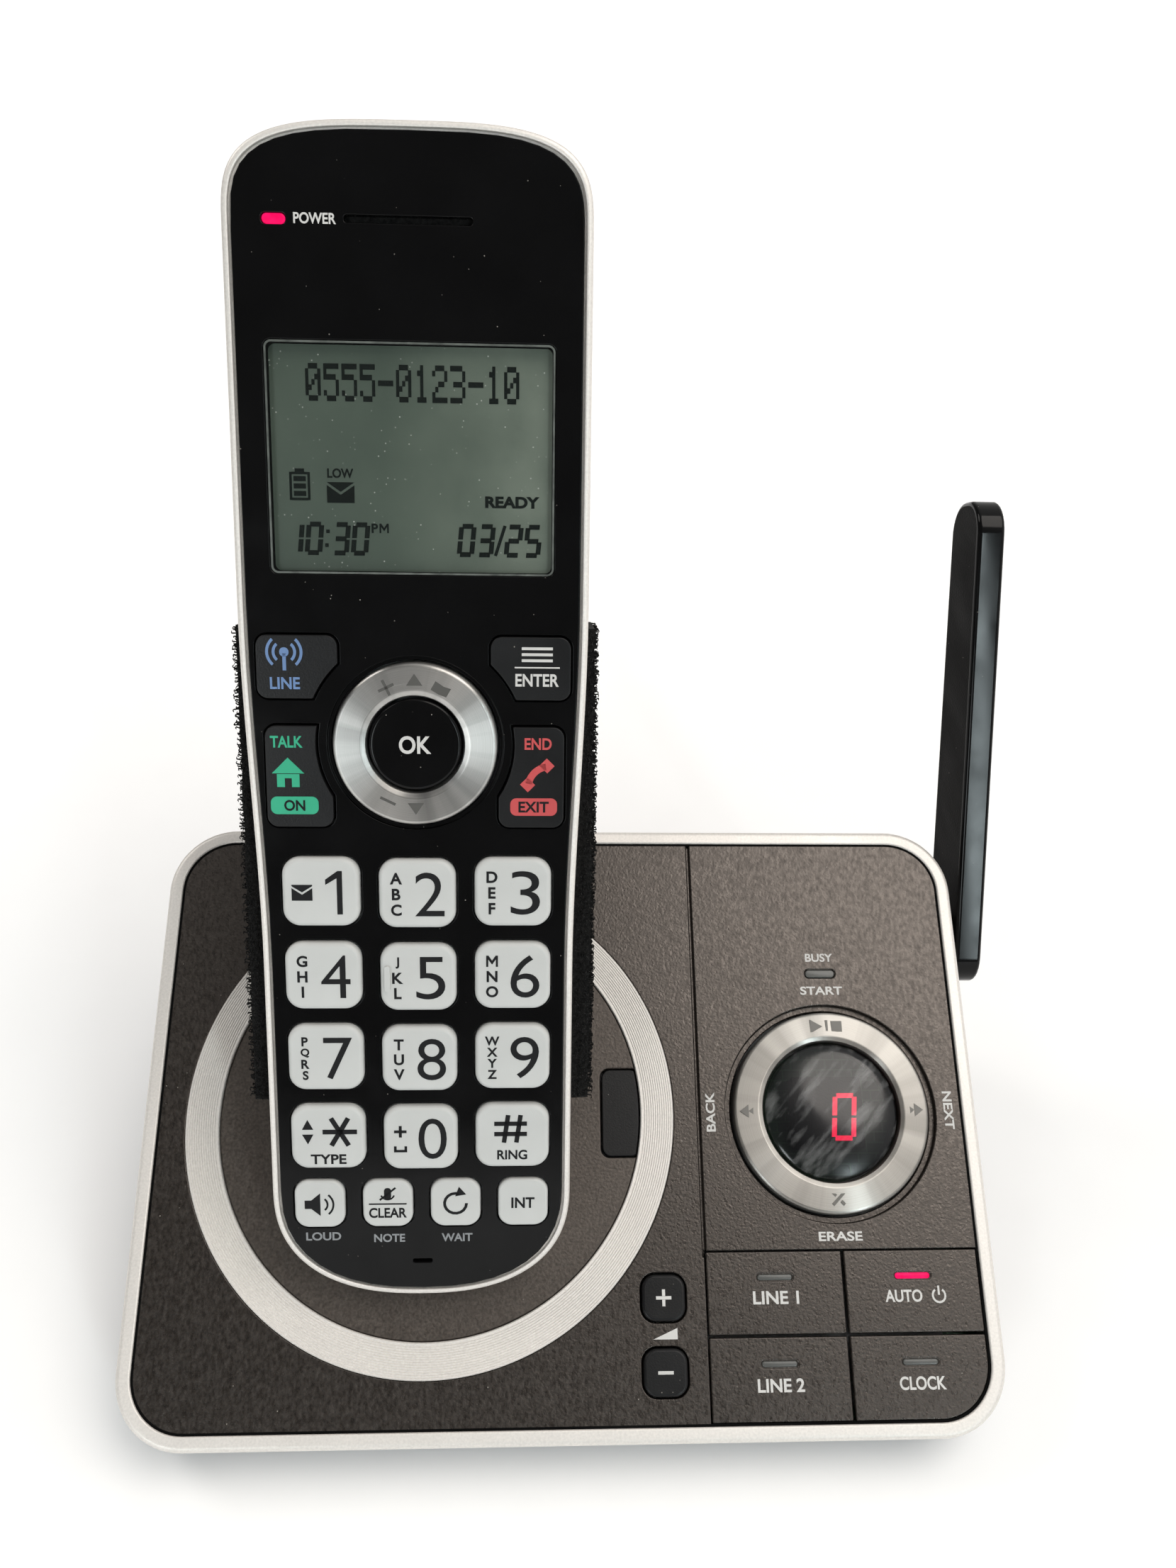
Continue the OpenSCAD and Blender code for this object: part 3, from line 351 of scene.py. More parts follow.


# Satin texture of the base's face and cradle, with a warm tint on its reflections, painted warmth of the light
SATIN = {"grain": (2300, 0.05), "dust": 420, "wipe": 0.12, "brush": 1700, "spot": 2300,
         "Specular_Tint": (1.0, 0.90, 0.83, 1)}
FINISHES = {
    "dark_shell": finish("dark_shell", (0.022, 0.021, 0.021), 0.52, grain=(2600, 0.05), dust=220),
    "silver_trim": finish("silver_trim", (0.75, 0.715, 0.675), 0.46, 0.07, grain=(5200, 0.01), wipe=0.04,
                          spot=2600, Metallic=0.35),
    "face_black": finish("face_black", (0.0095, 0.0075, 0.0060), 0.33, 0.8, Specular_IOR_Level=0.84,
                         **SATIN),
    "gloss_black": finish("gloss_black", (0.003, 0.003, 0.0032), 0.13, 0.2, dust=480, wipe=0.05,
                          Specular_IOR_Level=0.16),
    "smoked_lens": finish("smoked_lens", (0.004, 0.004, 0.005), 0.17, 0.2, dust=500, wipe=0.12,
                          smear=(0.15, 0.15, 0.15), Alpha=0.82),
    "cradle_black": finish("cradle_black", (0.046, 0.038, 0.032), 0.40, 0.5, Specular_IOR_Level=0.7,
                           **SATIN),
    "key_black": finish("key_black", (0.007, 0.007, 0.0075), 0.36, 0.2, grain=(3800, 0.02), dust=480,
                        Specular_IOR_Level=0.25),
    "key_grey": finish("key_grey", (0.545, 0.55, 0.535), 0.42, 0.04, grain=(4200, 0.012)),
    "spun_metal": spun_metal("spun_metal", (0.50, 0.49, 0.47)),
    "window_clear": finish("window_clear", (0.02, 0.024, 0.022), 0.10, 0.1, wipe=0.05, Alpha=0.16),
    "display_glass": display_glass("display_glass"),
    "circuit_board": board("circuit_board"),
    "silicone": finish("silicone", (0.30, 0.31, 0.32), 0.6, grain=(2000, 0.02)),
    "foot_rubber": finish("foot_rubber", (0.016, 0.016, 0.016), 0.78, grain=(1800, 0.06), dust=300),
    "steel": finish("steel", (0.55, 0.55, 0.57), 0.3, 0.06, grain=(3000, 0.01), Metallic=1.0),
    "contact_gold": finish("contact_gold", (0.72, 0.54, 0.24), 0.28, 0.08, Metallic=1.0),
    "socket_black": finish("socket_black", (0.010, 0.010, 0.010), 0.6, grain=(2600, 0.03),
                           Specular_IOR_Level=0.15),
    "battery_wrap": finish("battery_wrap", (0.05, 0.14, 0.36), 0.3, 0.1),
    "tape": tape_weave("tape"),
}
INK_WHITE = finish("ink_white", (0.60, 0.59, 0.57), 0.5, 0.08)
INK_DARK = finish("ink_dark", (0.010, 0.010, 0.011), 0.6, 0.1, Specular_IOR_Level=0.15)
INK_GREY = finish("ink_grey", (0.24, 0.25, 0.26), 0.5, 0.08)
INK_BLUE = finish("ink_blue", (0.12, 0.21, 0.40), 0.5, 0.08)
INK_GREEN = finish("ink_green", (0.02, 0.38, 0.21), 0.5, 0.08)
INK_RED = finish("ink_red", (0.50, 0.06, 0.062), 0.5, 0.08)
# Painted shadow in the gap between the base's frame and its panel
GAP_SHADOW = finish("gap_shadow", (0.003, 0.003, 0.003), 0.8, 0.3, Specular_IOR_Level=0.05)
SIDE_BLACK = finish("side_black", (0.004, 0.0038, 0.0038), 0.5, 0.4, grain=(2600, 0.06), dust=420,
                    Specular_IOR_Level=0.015)
# Painted shade: darker copy of the spun metal for the control ring, with its painted sectors turned half round
SHADED_METAL = spun_metal("shaded_spun_metal", (0.335, 0.325, 0.305), pi)
RING_MARK = finish("ring_mark", (0.085, 0.082, 0.075), 0.45, 0.1, Metallic=0.3)
DIAL_MARK = finish("dial_mark", (0.14, 0.135, 0.125), 0.45, 0.1, Metallic=0.3)
# Painted highlight: pale ring where light catches the window's bevel
WINDOW_GLINT = finish("window_glint", (0.10, 0.11, 0.10), 0.3, 0.5, spot=400)
SEGMENT = finish("segment", (0.006, 0.009, 0.008), 0.7, 0.25, Specular_IOR_Level=0.1)
CLOTH = tape_weave("sound_cloth")
LAMP_LIT = lit("lamp_lit", (0.86, 0.001, 0.095), 1.0, (0.98, 0.008, 0.14))
LAMP_DARK = finish("lamp_dark", (0.085, 0.087, 0.082), 0.3, 0.15)
COUNTER_LIT = lit("counter_lit", (1.0, 0.002, 0.05), 4.8, (1.0, 0.01, 0.09))


# Building

def added(name, data):
    """New object in the scene."""
    made = bpy.data.objects.new(name, data)
    bpy.context.scene.collection.objects.link(made)
    return made


def shown(name, mesh, matrix, body, material, smooth=35):
    """Object of a mesh, placed by a frame's matrix, that rides on a body."""
    mesh.shade_smooth()
    mesh.set_sharp_from_angle(angle=radians(smooth))
    piece = added(name, mesh)
    piece.matrix_world = matrix
    mesh.materials.clear()
    mesh.materials.append(material)
    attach(piece, body)
    return piece


def stands_for(name, mesh, matrix, cad_node, smooth=35, material=None):
    """Shown piece that takes a solid's place and body, and its finish where no other is given."""
    slot = SLOT_OF[cad_node]
    piece = shown(name, mesh, matrix, BODY_OF[cad_node], material or FINISHES[slot], smooth)
    weighted = piece.modifiers.new("flat_faces", "WEIGHTED_NORMAL")
    weighted.keep_sharp = True
    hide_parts(cad_node)


def mesh_of(name, points, faces):
    mesh = bpy.data.meshes.new(name)
    mesh.from_pydata([tuple(c * MM for c in p) for p in points], [], faces)
    edit = bmesh.new()
    edit.from_mesh(mesh)
    bmesh.ops.recalc_face_normals(edit, faces=edit.faces)
    edit.to_mesh(mesh)
    edit.free()
    return mesh


def lofted(name, loops, ring=False):
    """Mesh through closed loops. A ring joins its last loop to its first; other lofts are capped."""
    count = len(loops[0])
    points = [p for loop in loops for p in loop]
    faces = []
    for i in range(len(loops) if ring else len(loops) - 1):
        a = i * count
        b = (i + 1) % len(loops) * count
        faces += [(a + j, a + (j + 1) % count, b + (j + 1) % count, b + j) for j in range(count)]
    if not ring:
        faces.append(tuple(range(count)))
        faces.append(tuple(range(len(points) - count, len(points))))
    return mesh_of(name, points, faces)


def lathed(name, profile, steps, ring=False):
    """Mesh of a turned piece, from pairs of a radius and a height."""
    turns = [tau * i / steps for i in range(steps)]
    loops = [[(r * cos(a), r * sin(a), z) for a in turns] for r, z in profile]
    return lofted(name, loops, ring)


def moved(matrix, x, y):
    """Frame moved along its surface, by millimetres."""
    return matrix @ Matrix.Translation((x * MM, y * MM, 0))


def round_corners(corners, r, z, steps):
    """Closed loop at a height with a round corner about each of four centres."""
    turns = [pi / 2 * i / steps for i in range(steps + 1)]
    return [(x + r * cos(pi / 2 * k + a), y + r * sin(pi / 2 * k + a), z)
            for k, (x, y) in enumerate(corners) for a in turns]


def corner_loop(width, height, r, z, steps=10):
    """Rectangle with round corners at a height."""
    x = width / 2 - r
    y = height / 2 - r
    return round_corners([(x, y), (-x, y), (-x, -y), (x, -y)], r, z, steps)


def corner_loops(width, height, r, profile, steps=10):
    """Rectangles with round corners, from pairs of an inset and a height."""
    return [corner_loop(width - 2 * inset, height - 2 * inset, r - inset, z, steps) for inset, z in profile]


def quarter(r, steps=5):
    """Insets and drops along a rounded edge, from its side to its top."""
    turns = [pi / 2 * i / steps for i in range(steps + 1)]
    return [(r * (1 - cos(a)), r * (1 - sin(a))) for a in turns]


def finished(edit, name):
    """Mesh with the edits made to it."""
    mesh = bpy.data.meshes.new(name)
    edit.to_mesh(mesh)
    edit.free()
    return mesh


def softened(cad_node, width, segments, below, merge):
    """Copy of a solid's mesh with its sharp edges rounded, up to a height in metres."""
    sharp_angle = radians(28)
    flat_angle = radians(0.2)
    weld = 0.002 * MM
    edit = bmesh.new()
    edit.from_mesh(frame["nodes"][cad_node].data)
    bmesh.ops.remove_doubles(edit, verts=edit.verts, dist=weld)
    if merge:
        bmesh.ops.dissolve_limit(edit, angle_limit=flat_angle, verts=edit.verts, edges=edit.edges)
    sharp = [e for e in edit.edges if e.is_manifold and e.calc_face_angle() > sharp_angle
             and max(v.co.z for v in e.verts) < below]
    bmesh.ops.bevel(edit, geom=sharp, offset=width * MM, offset_type="OFFSET", segments=segments,
                    profile=0.5, affect="EDGES", clamp_overlap=False)
    return finished(edit, cad_node + "_soft")


def soft_piece(cad_node, width, segments=2, below=1.0, merge=True):
    """Softened copy of a solid that takes its place."""
    mesh = softened(cad_node, width, segments, below, merge)
    stands_for(cad_node + "_finished", mesh, Matrix.Identity(4), cad_node, 50)


# Prints

def flat(points):
    """Flat outline of a print, as points in millimetres."""
    return ("outline", [tuple(p) for p in points])


def placed(centre, points, turn=0.0):
    """Outline turned by an angle in degrees and put at a centre."""
    a = radians(turn)
    return flat((centre[0] + x * cos(a) - y * sin(a), centre[1] + x * sin(a) + y * cos(a))
                for x, y in points)


def arc(centre, r, start, end, width, steps=14):
    """Curved bar between two angles in degrees."""
    angles = [radians(start + (end - start) * i / steps) for i in range(steps + 1)]
    rims = [(r + width / 2, angles), (r - width / 2, angles[::-1])]
    return flat((centre[0] + reach * cos(a), centre[1] + reach * sin(a))
                for reach, turns in rims for a in turns)


def bar(centre, size, turn=0.0):
    """Straight bar, turned by an angle in degrees."""
    corners = [(-1, -1), (1, -1), (1, 1), (-1, 1)]
    return placed(centre, [(x * size[0] / 2, y * size[1] / 2) for x, y in corners], turn)


def pill(centre, size, r):
    """Bar with round corners."""
    return placed(centre, [(x, y) for x, y, _ in corner_loop(size[0], size[1], r, 0, 6)])


def wedge(centre, size, turn):
    """Triangle that points along an angle in degrees."""
    tip = size[0] / 2
    half = size[1] / 2
    return placed(centre, [(tip, 0), (-tip, half), (-tip, -half)], turn)


def letter_m(centre, size):
    """Letter M as one outline, which stays open when it is small and bold."""
    stem = 0.64
    outline = [(-1, -1), (-1, 1), (-0.6, 1), (0, 0.1), (0.6, 1), (1, 1), (1, -1), (stem, -1), (stem, 0.3),
               (0, -0.6), (-stem, 0.3), (-stem, -1)]
    return placed(centre, [(x * size[0] / 2, y * size[1] / 2) for x, y in outline])


def words(text, centre, size, turn=0.0, weight=0.024):
    """Lettering that fills a box, or keeps its own width where the box has none, turned in degrees."""
    return ("words", text, centre, size, turn, weight)


def word_mesh(text, weight):
    """Flat mesh of a text in the built-in font, with its strokes made bolder by a weight."""
    curve = bpy.data.curves.new("lettering", "FONT")
    curve.body = text
    curve.resolution_u = 6
    curve.offset = weight
    carrier = added("lettering", curve)
    graph = bpy.context.evaluated_depsgraph_get()
    mesh = bpy.data.meshes.new_from_object(carrier.evaluated_get(graph))
    bpy.data.objects.remove(carrier)
    bpy.data.curves.remove(curve)
    return mesh


def add_words(edit, item):
    _, text, centre, size, turn, weight = item
    mesh = word_mesh(text, weight)
    xs = [v.co.x for v in mesh.vertices]
    ys = [v.co.y for v in mesh.vertices]
    tall = size[1] / (max(ys) - min(ys))
    wide = size[0] / (max(xs) - min(xs)) if size[0] else tall
    scale = Matrix.Diagonal((wide, tall, 1, 1))
    middle = Matrix.Translation((-(max(xs) + min(xs)) / 2, -(max(ys) + min(ys)) / 2, 0))
    turned = Matrix.Rotation(radians(turn), 4, "Z")
    mesh.transform(Matrix.Translation((centre[0], centre[1], 0)) @ turned @ scale @ middle)
    edit.from_mesh(mesh)
    bpy.data.meshes.remove(mesh)


def printed(name, items, height, matrix, body, material, thick=INK):
    """One thin solid of all the items, standing on a surface at a height."""
    edit = bmesh.new()
    for item in items:
        if item[0] == "words":
            add_words(edit, item)
        else:
            edit.faces.new([edit.verts.new((x, y, 0)) for x, y in item[1]])
    bmesh.ops.recalc_face_normals(edit, faces=edit.faces)
    for face in edit.faces:
        if face.normal.z < 0:
            face.normal_flip()
    raised = bmesh.ops.extrude_face_region(edit, geom=list(edit.faces))
    tops = [v for v in raised["geom"] if isinstance(v, bmesh.types.BMVert)]
    bmesh.ops.translate(edit, verts=tops, vec=(0, 0, 2 * thick))
    bmesh.ops.translate(edit, verts=list(edit.verts), vec=(0, 0, height - thick))
    bmesh.ops.scale(edit, verts=list(edit.verts), vec=(MM, MM, MM))
    bmesh.ops.recalc_face_normals(edit, faces=edit.faces)
    shown(name, finished(edit, name), matrix, body, material)


# Lit segments of the digits that the displays show
SEGMENTS_OF = {"0": "abcdef", "1": "bc", "2": "abged", "3": "abgcd", "5": "afgcd"}


def seven_segments(digit, centre, size, width, lean=0.1):
    """Bars of one seven-segment digit that leans to the right."""
    w, h = size
    gap = 0.06 * h
    spots = {"a": (0, h / 2, 0), "g": (0, 0, 0), "d": (0, -h / 2, 0), "f": (-w / 2, h / 4, 90),
             "b": (w / 2, h / 4, 90), "e": (-w / 2, -h / 4, 90), "c": (w / 2, -h / 4, 90)}
    bars = []
    for segment in SEGMENTS_OF[digit]:
        x, y, turn = spots[segment]
        length = (h / 2 if turn else w) - gap
        _, points = bar((x, y), (length, width), turn)
        bars.append(flat((centre[0] + px + lean * py, centre[1] + py) for px, py in points))
    return bars


# Base

def face_loops(profile):
    """Loops round the base's face, from insets and heights."""
    return corner_loops(BASE_W, BASE_L, BASE_R, profile, 16)


def base_bezel():
    """Silver frame with rounded edges round the face, and a dark ring inside it, painted shadow in the gap between
    frame and panel.
    """
    outer_edge = 0.9
    inner_edge = 0.3
    profile = [(0, -BEZEL_D)]
    profile += [(inset, BEZEL_RISE - drop) for inset, drop in quarter(outer_edge)]
    profile += [(BEZEL_W - inset, BEZEL_RISE - drop) for inset, drop in reversed(quarter(inner_edge, 3))]
    profile += [(BEZEL_W, -PANEL_T), (BEZEL_W, -BEZEL_D)]
    stands_for("bezel", lofted("bezel", face_loops(profile), True), FACE, "base_bezel")
    # Painted shadow: a thin dark ring over the gap between the frame and the panel
    shadow_depth = 0.3
    near = BEZEL_W - 0.05
    far = BEZEL_W + 0.4
    profile = [(near, -shadow_depth), (near, INK), (far, INK), (far, -shadow_depth)]
    shown("panel_gap_shadow", lofted("panel_gap_shadow", face_loops(profile), True), FACE, "base", GAP_SHADOW)


def cradle_circle():
    """Silver circle with fine concentric grooves."""
    grooves = 13
    depth = 0.1
    slope = 0.35
    rim = 0.35
    edge = 0.15
    inner = CIRCLE_R - CIRCLE_W
    pitch = (CIRCLE_W - 2 * rim) / grooves
    profile = [(inner, -CIRCLE_T), (inner, CIRCLE_RISE - edge), (inner + edge, CIRCLE_RISE)]
    for i in range(grooves):
        start = inner + rim + i * pitch
        profile += [(start, CIRCLE_RISE), (start + slope * pitch, CIRCLE_RISE - depth),
                    (start + (1 - slope) * pitch, CIRCLE_RISE - depth)]
    profile += [(CIRCLE_R - rim, CIRCLE_RISE), (CIRCLE_R - edge, CIRCLE_RISE),
                (CIRCLE_R, CIRCLE_RISE - edge), (CIRCLE_R, -CIRCLE_T)]
    mesh = lathed("circle", profile, 200, True)
    stands_for("circle", mesh, moved(FACE, CRADLE_X, 0), "cradle_circle", 15)


def turned_ring(name, cad_node, matrix, bore, r, top, foot, fall=0.0, material=None):
    """Turned metal ring with a rounded outer edge and a bevel at its bore. Its top falls towards its edge."""
    edge = 0.6
    # Steps of the bevel, outwards from the bore and down from the top
    bevel = [(0, 0.55), (0.15, 0.3), (0.7, 0.08), (1.0, 0)]
    profile = [(bore, foot)] + [(bore + out, top - down) for out, down in bevel]
    profile += [(r - inset, top - fall - drop) for inset, drop in reversed(quarter(edge))]
    profile += [(r, foot)]
    stands_for(name, lathed(name, profile, 160, True), matrix, cad_node, material=material)


def control_marks():
    """Play, back, next and clear signs stamped in the control ring."""
    middle = (DIAL_R + DIAL_BORE) / 2
    depth = 0.1
    stroke = 0.5
    arrow = (1.5, 2.2)
    apart = 0.75
    marks = [wedge((-1.6, middle), (2.2, 2.4), 0), bar((0.25, middle), (0.4, 2.2)),
             bar((2.0, middle), (1.9, 1.9))]
    for side, turn in ((-1, 180), (1, 0)):
        marks += [wedge((side * (middle + apart), 0), arrow, turn),
                  wedge((side * (middle - apart), 0), arrow, turn)]
    marks += [bar((0, -middle), (2.8, stroke), 45), bar((-0.7, -middle + 0.7), (0.8, stroke), -45),
              bar((0.7, -middle - 0.7), (0.8, stroke), -45)]
    printed("control_marks", marks, DIAL_TOP - DIAL_FALL / 2, DIAL, "control_ring", DIAL_MARK, depth)


def counter():
    """Smoked dome over the lit digit of the message counter."""
    steps = 12
    tip_r = 0.05
    profile = [(LENS_R, -BEZEL_D), (LENS_R, 0)]
    for i in range(1, steps):
        a = pi / 2 * i / steps
        profile.append((LENS_R * cos(a), LENS_DOME * sin(a)))
    profile.append((tip_r, LENS_DOME))
    stands_for("counter_lens", lathed("counter_lens", profile, 96), DIAL, "message_lens")
    digit = seven_segments("0", centre=(2.7, -0.8), size=(3.4, 7.2), width=0.85)
    printed("counter_digit", digit, COUNTER_Z, DIAL, "base", COUNTER_LIT)


def flat_centre(i):
    col = i % 2
    row = i // 2
    return (FLAT_LEFT + (col + 0.5) * CONTROL_W / 2, FLAT_TOP - (row + 0.5) * FLAT_H)


def lamp(name, centre, size, matrix, body, material):
    """Lens of a lamp with round ends and a rounded top, a little below the surface round it."""
    top = -0.1
    depth = 0.3
    edge = 0.2
    r = size[1] / 2 - 0.02
    profile = [(0, top - depth)] + [(inset, top - drop) for inset, drop in quarter(edge, 3)]
    mesh = lofted(name, corner_loops(size[0], size[1], r, profile, 6))
    shown(name, mesh, moved(matrix, *centre), body, material)


def flat_keys():
    """Four flat keys, each with its lamp and legend."""
    legends = ["LINE 1", "AUTO", "LINE 2", "CLOCK"]
    lamp_size = (5.8, 0.95)
    text_drop = 7.3
    stroke = 0.32
    for i, key in enumerate(FLAT_KEYS):
        soft_piece(key, 0.25)
        x, y = flat_centre(i)
        top = y + FLAT_H / 2
        lamp(key + "_lamp", (x, top - LAMP_DROP), lamp_size, FACE, key,
             LAMP_LIT if key == "answer_key" else LAMP_DARK)
        text_y = top - text_drop
        items = [words(legends[i], (x, text_y), (7.6, 2.0))]
        if key == "answer_key":
            sign = (x + 4.1, text_y)
            items = [words(legends[i], (x - 1.8, text_y), (6.2, 1.9)),
                     arc(sign, 1.05, 125, 415, stroke), bar((sign[0], sign[1] + 0.8), (stroke, 1.4))]
        printed(key + "_legend", items, 0.0, FACE, key, INK_WHITE)


def volume_keys():
    """Two square keys with a minus and a plus sign."""
    stroke = 0.5
    x = FLAT_LEFT - VOLUME_GAP
    for i, key in enumerate(VOLUME_KEYS):
        soft_piece(key, 0.5, 4)
        y = VOLUME_Y + i * VOLUME_PITCH
        items = [bar((x, y), (2.5, stroke))]
        if key == "volume_up_key":
            items += [bar((x, y + side * 0.78), (stroke, 1.0)) for side in (1, -1)]
        printed(key + "_legend", items, VOLUME_RISE, FACE, key, INK_WHITE)


def base_legends():
    """Lettering on the face panel, and the lamp above the control ring."""
    tall = 1.5
    side_tall = 1.6
    items = [words("BUSY", (DIAL_X, 27.0), (5.0, tall)), words("START", (DIAL_X, 21.0), (7.6, tall)),
             words("ERASE", (DIAL_X, -20.4), (7.4, tall)), words("BACK", (24.9, 0), (6.6, side_tall), 90),
             words("NEXT", (66.5, 0), (6.4, side_tall), -90),
             flat([(13.9, -35.8), (17.9, -35.8), (17.9, -34.1)])]
    printed("face_legends", items, 0.0, FACE, "base", INK_WHITE)
    lamp("use_lamp", (DIAL_X, 24.1), (5.3, 1.4), FACE, "base", LAMP_DARK)


def paddle_loop(inset, z):
    """Antenna's outline from its pivot to its tip, drawn in by an inset."""
    tip = (ANTENNA_L - TIP_R, ANTENNA_TIP_W / 2 - TIP_R)
    root = (TIP_R - ANTENNA_ROOT, ANTENNA_W / 2 - TIP_R)
    return round_corners([tip, root, (root[0], -root[1]), (tip[0], -tip[1])], TIP_R - inset, z, 8)


def antenna():
    """Glossy paddle with round edges, and the hub and pin that it turns on."""
    edge = 0.8
    rise = radians(ANTENNA_TILT)
    along = Vector((0, cos(rise), sin(rise)))
    out = Vector((1, 0, 0))
    pivot = Matrix.Translation(JOINTS["antenna_fold"]["pos_m"])
    matrix = pivot @ Matrix((along, out.cross(along), out)).transposed().to_4x4()
    far = ANTENNA_GAP + ANTENNA_T
    loops = [paddle_loop(inset, ANTENNA_GAP + drop) for inset, drop in reversed(quarter(edge))]
    loops += [paddle_loop(inset, far - drop) for inset, drop in quarter(edge)]
    mesh = lofted("antenna_paddle", loops)
    sides = [abs(face.normal.z) > 0.99 for face in mesh.polygons]
    mesh.transform(matrix)
    stands_for("antenna_paddle", mesh, Matrix.Identity(4), "antenna")
    mesh.materials.append(SIDE_BLACK)
    for face, side in zip(mesh.polygons, sides):
        face.material_index = int(side)
    bevel = 0.2
    profile = [(PIN_R, -PIN_L), (PIN_R, bevel), (HUB_R - bevel, bevel), (HUB_R, 2 * bevel),
               (HUB_R, ANTENNA_GAP + 0.1)]
    stands_for("antenna_hub", lathed("antenna_hub", profile, 64), matrix, "antenna")


def base():
    base_bezel()
    cradle_circle()
    turned_ring("control_ring_turned", "control_ring", DIAL, DIAL_BORE, DIAL_R, DIAL_TOP, DIAL_FOOT,
                DIAL_FALL, SHADED_METAL)
    control_marks()
    counter()
    flat_keys()
    volume_keys()
    base_legends()
    antenna()
    soft_piece("find_key", 0.2)
    soft_piece("face_panel", 0.2)
    soft_piece("cradle_well", 0.25)
    soft_piece("base_shell", 0.5, below=SHELL_FOOT * MM)
    soft_piece("rubber_feet", 0.3)


# Handset

def side_half(y):
    """Half width of the handset at a height, away from its round ends."""
    t = min(max((y - TAPER_Y[0]) / (TAPER_Y[1] - TAPER_Y[0]), 0), 1)
    return LOWER_HALF + (UPPER_HALF - LOWER_HALF) * t * t * (3 - 2 * t)


def end_curve(half, height, power, steps=28):
    """Half of the handset's round end, from its side to its middle."""
    turns = [pi / 2 * i / steps for i in range(steps)]
    curve = [(half * cos(a) ** (2 / power), height * sin(a) ** (2 / power)) for a in turns]
    return curve + [(0, height)]


def handset_loop(inset, z):
    """Handset's outline, drawn in by an inset."""
    foot = end_curve(LOWER_HALF - inset, FOOT_CAP - inset, FOOT_POWER)
    top = end_curve(UPPER_HALF - inset, TOP_CAP - inset, TOP_POWER)
    steps = 12
    right = [(x, FOOT_CAP - HAND_DOWN - y) for x, y in reversed(foot)]
    for i in range(steps + 1):
        y = TAPER_Y[0] + (TAPER_Y[1] - TAPER_Y[0]) * i / steps
        right.append((side_half(y) - inset, y))
    right += [(x, HAND_UP - TOP_CAP + y) for x, y in top]
    left = [(-x, y) for x, y in reversed(right[1:-1])]
    return [(x, y, z) for x, y in right + left]


def handset_band():
    """Silver band with rounded edges round the handset, and a groove between it and the front."""
    groove_w = 0.3
    groove_d = 0.8
    inner_edge = 0.2
    outer_edge = 0.6
    # Insets towards the band's back, at shares of its depth
    back = [(0, 0.6), (0.12, 0.85), (0.35, 1.0), (BAND_W, 1.0)]
    profile = [(BAND_W, -FRONT_T), (BAND_W, -groove_d), (BAND_W - groove_w, -groove_d)]
    profile += [(BAND_W - groove_w - inset, -drop) for inset, drop in quarter(inner_edge, 3)]
    profile += [(inset, -drop) for inset, drop in reversed(quarter(outer_edge))]
    profile += [(inset, -share * BAND_D) for inset, share in back]
    loops = [handset_loop(inset, z) for inset, z in profile]
    stands_for("band", lofted("band", loops, True), HAND, "handset_band")


def key_cap(width, height, r, rise, edge):
    """Key with a rounded top edge and the flange that keeps it behind the front."""
    flange = KEY_FOOT + KEY_FLANGE_T
    profile = [(-KEY_FLANGE, KEY_FOOT), (-KEY_FLANGE, flange), (0, flange)]
    profile += [(inset, rise - drop) for inset, drop in quarter(edge)]
    return lofted("key_cap", corner_loops(width, height, r, profile))


def number_centre(i):
    col = i % 3 - 1
    row = i // 3
    return (col * PITCH_X, -ROW_DROP - row * PITCH_Y + abs(col) * ROW_ARC)


def key_signs(sign):
    """Large sign of a number key, and the small signs beside or below it."""
    x = SIDE_SIGN_X
    if sign == "*":
        items = [bar((1.8, 1.0), (5.2, 0.75), turn) for turn in (0, 60, 120)]
        return items + [wedge((x, 2.2), (1.6, 1.7), 90), wedge((x, -0.2), (1.6, 1.7), -90),
                        words("TYPE", (0, -3.5), (5.4, 1.6))]
    if sign == "#":
        items = [bar((side * 0.95, 1.3), (0.7, 4.6), -8) for side in (-1, 1)]
        items += [bar((-0.25, y), (5.0, 0.7)) for y in (0.45, 2.15)]
        return items + [words("RING", (0, -3.0), (4.6, 1.6))]
    if sign == "1":
        digit = [(2.35, -3.3), (3.15, -3.3), (3.15, 3.3), (2.5, 3.3), (0.7, 2.0), (0.7, 1.2), (2.35, 2.2)]
        envelope = [(-4.2, -1.2), (-1.2, -1.2), (-1.2, 0.7), (-2.7, -0.3), (-4.2, 0.7)]
        flap = [(-4.2, 1.0), (-2.7, 0.05), (-1.2, 1.0), (-1.2, 1.2), (-4.2, 1.2)]
        return [flat(digit), flat(envelope), flat(flap)]
    items = [words(sign, (1.85, 0), (4.3, 6.65), weight=-0.004)]
    if sign == "0":
        items += [bar((x, 1.2), (1.9, 0.45)), bar((x, 1.2), (0.45, 1.9)), bar((x, -2.0), (2.0, 0.4))]
        items += [bar((x + side * 0.8, -1.6), (0.4, 0.8)) for side in (-1, 1)]
    return items


def key_letters(letters):
    """Column of small letters at the left of a number key."""
    pitch = 7.2 / max(len(letters), 3)
    tall = min(pitch - 0.35, 1.75)
    items = []
    for j, letter in enumerate(letters):
        centre = (SIDE_SIGN_X, ((len(letters) - 1) / 2 - j) * pitch)
        items.append(letter_m(centre, (tall, tall)) if letter == "M"
                     else words(letter, centre, (None, tall), weight=0.03))
    return items


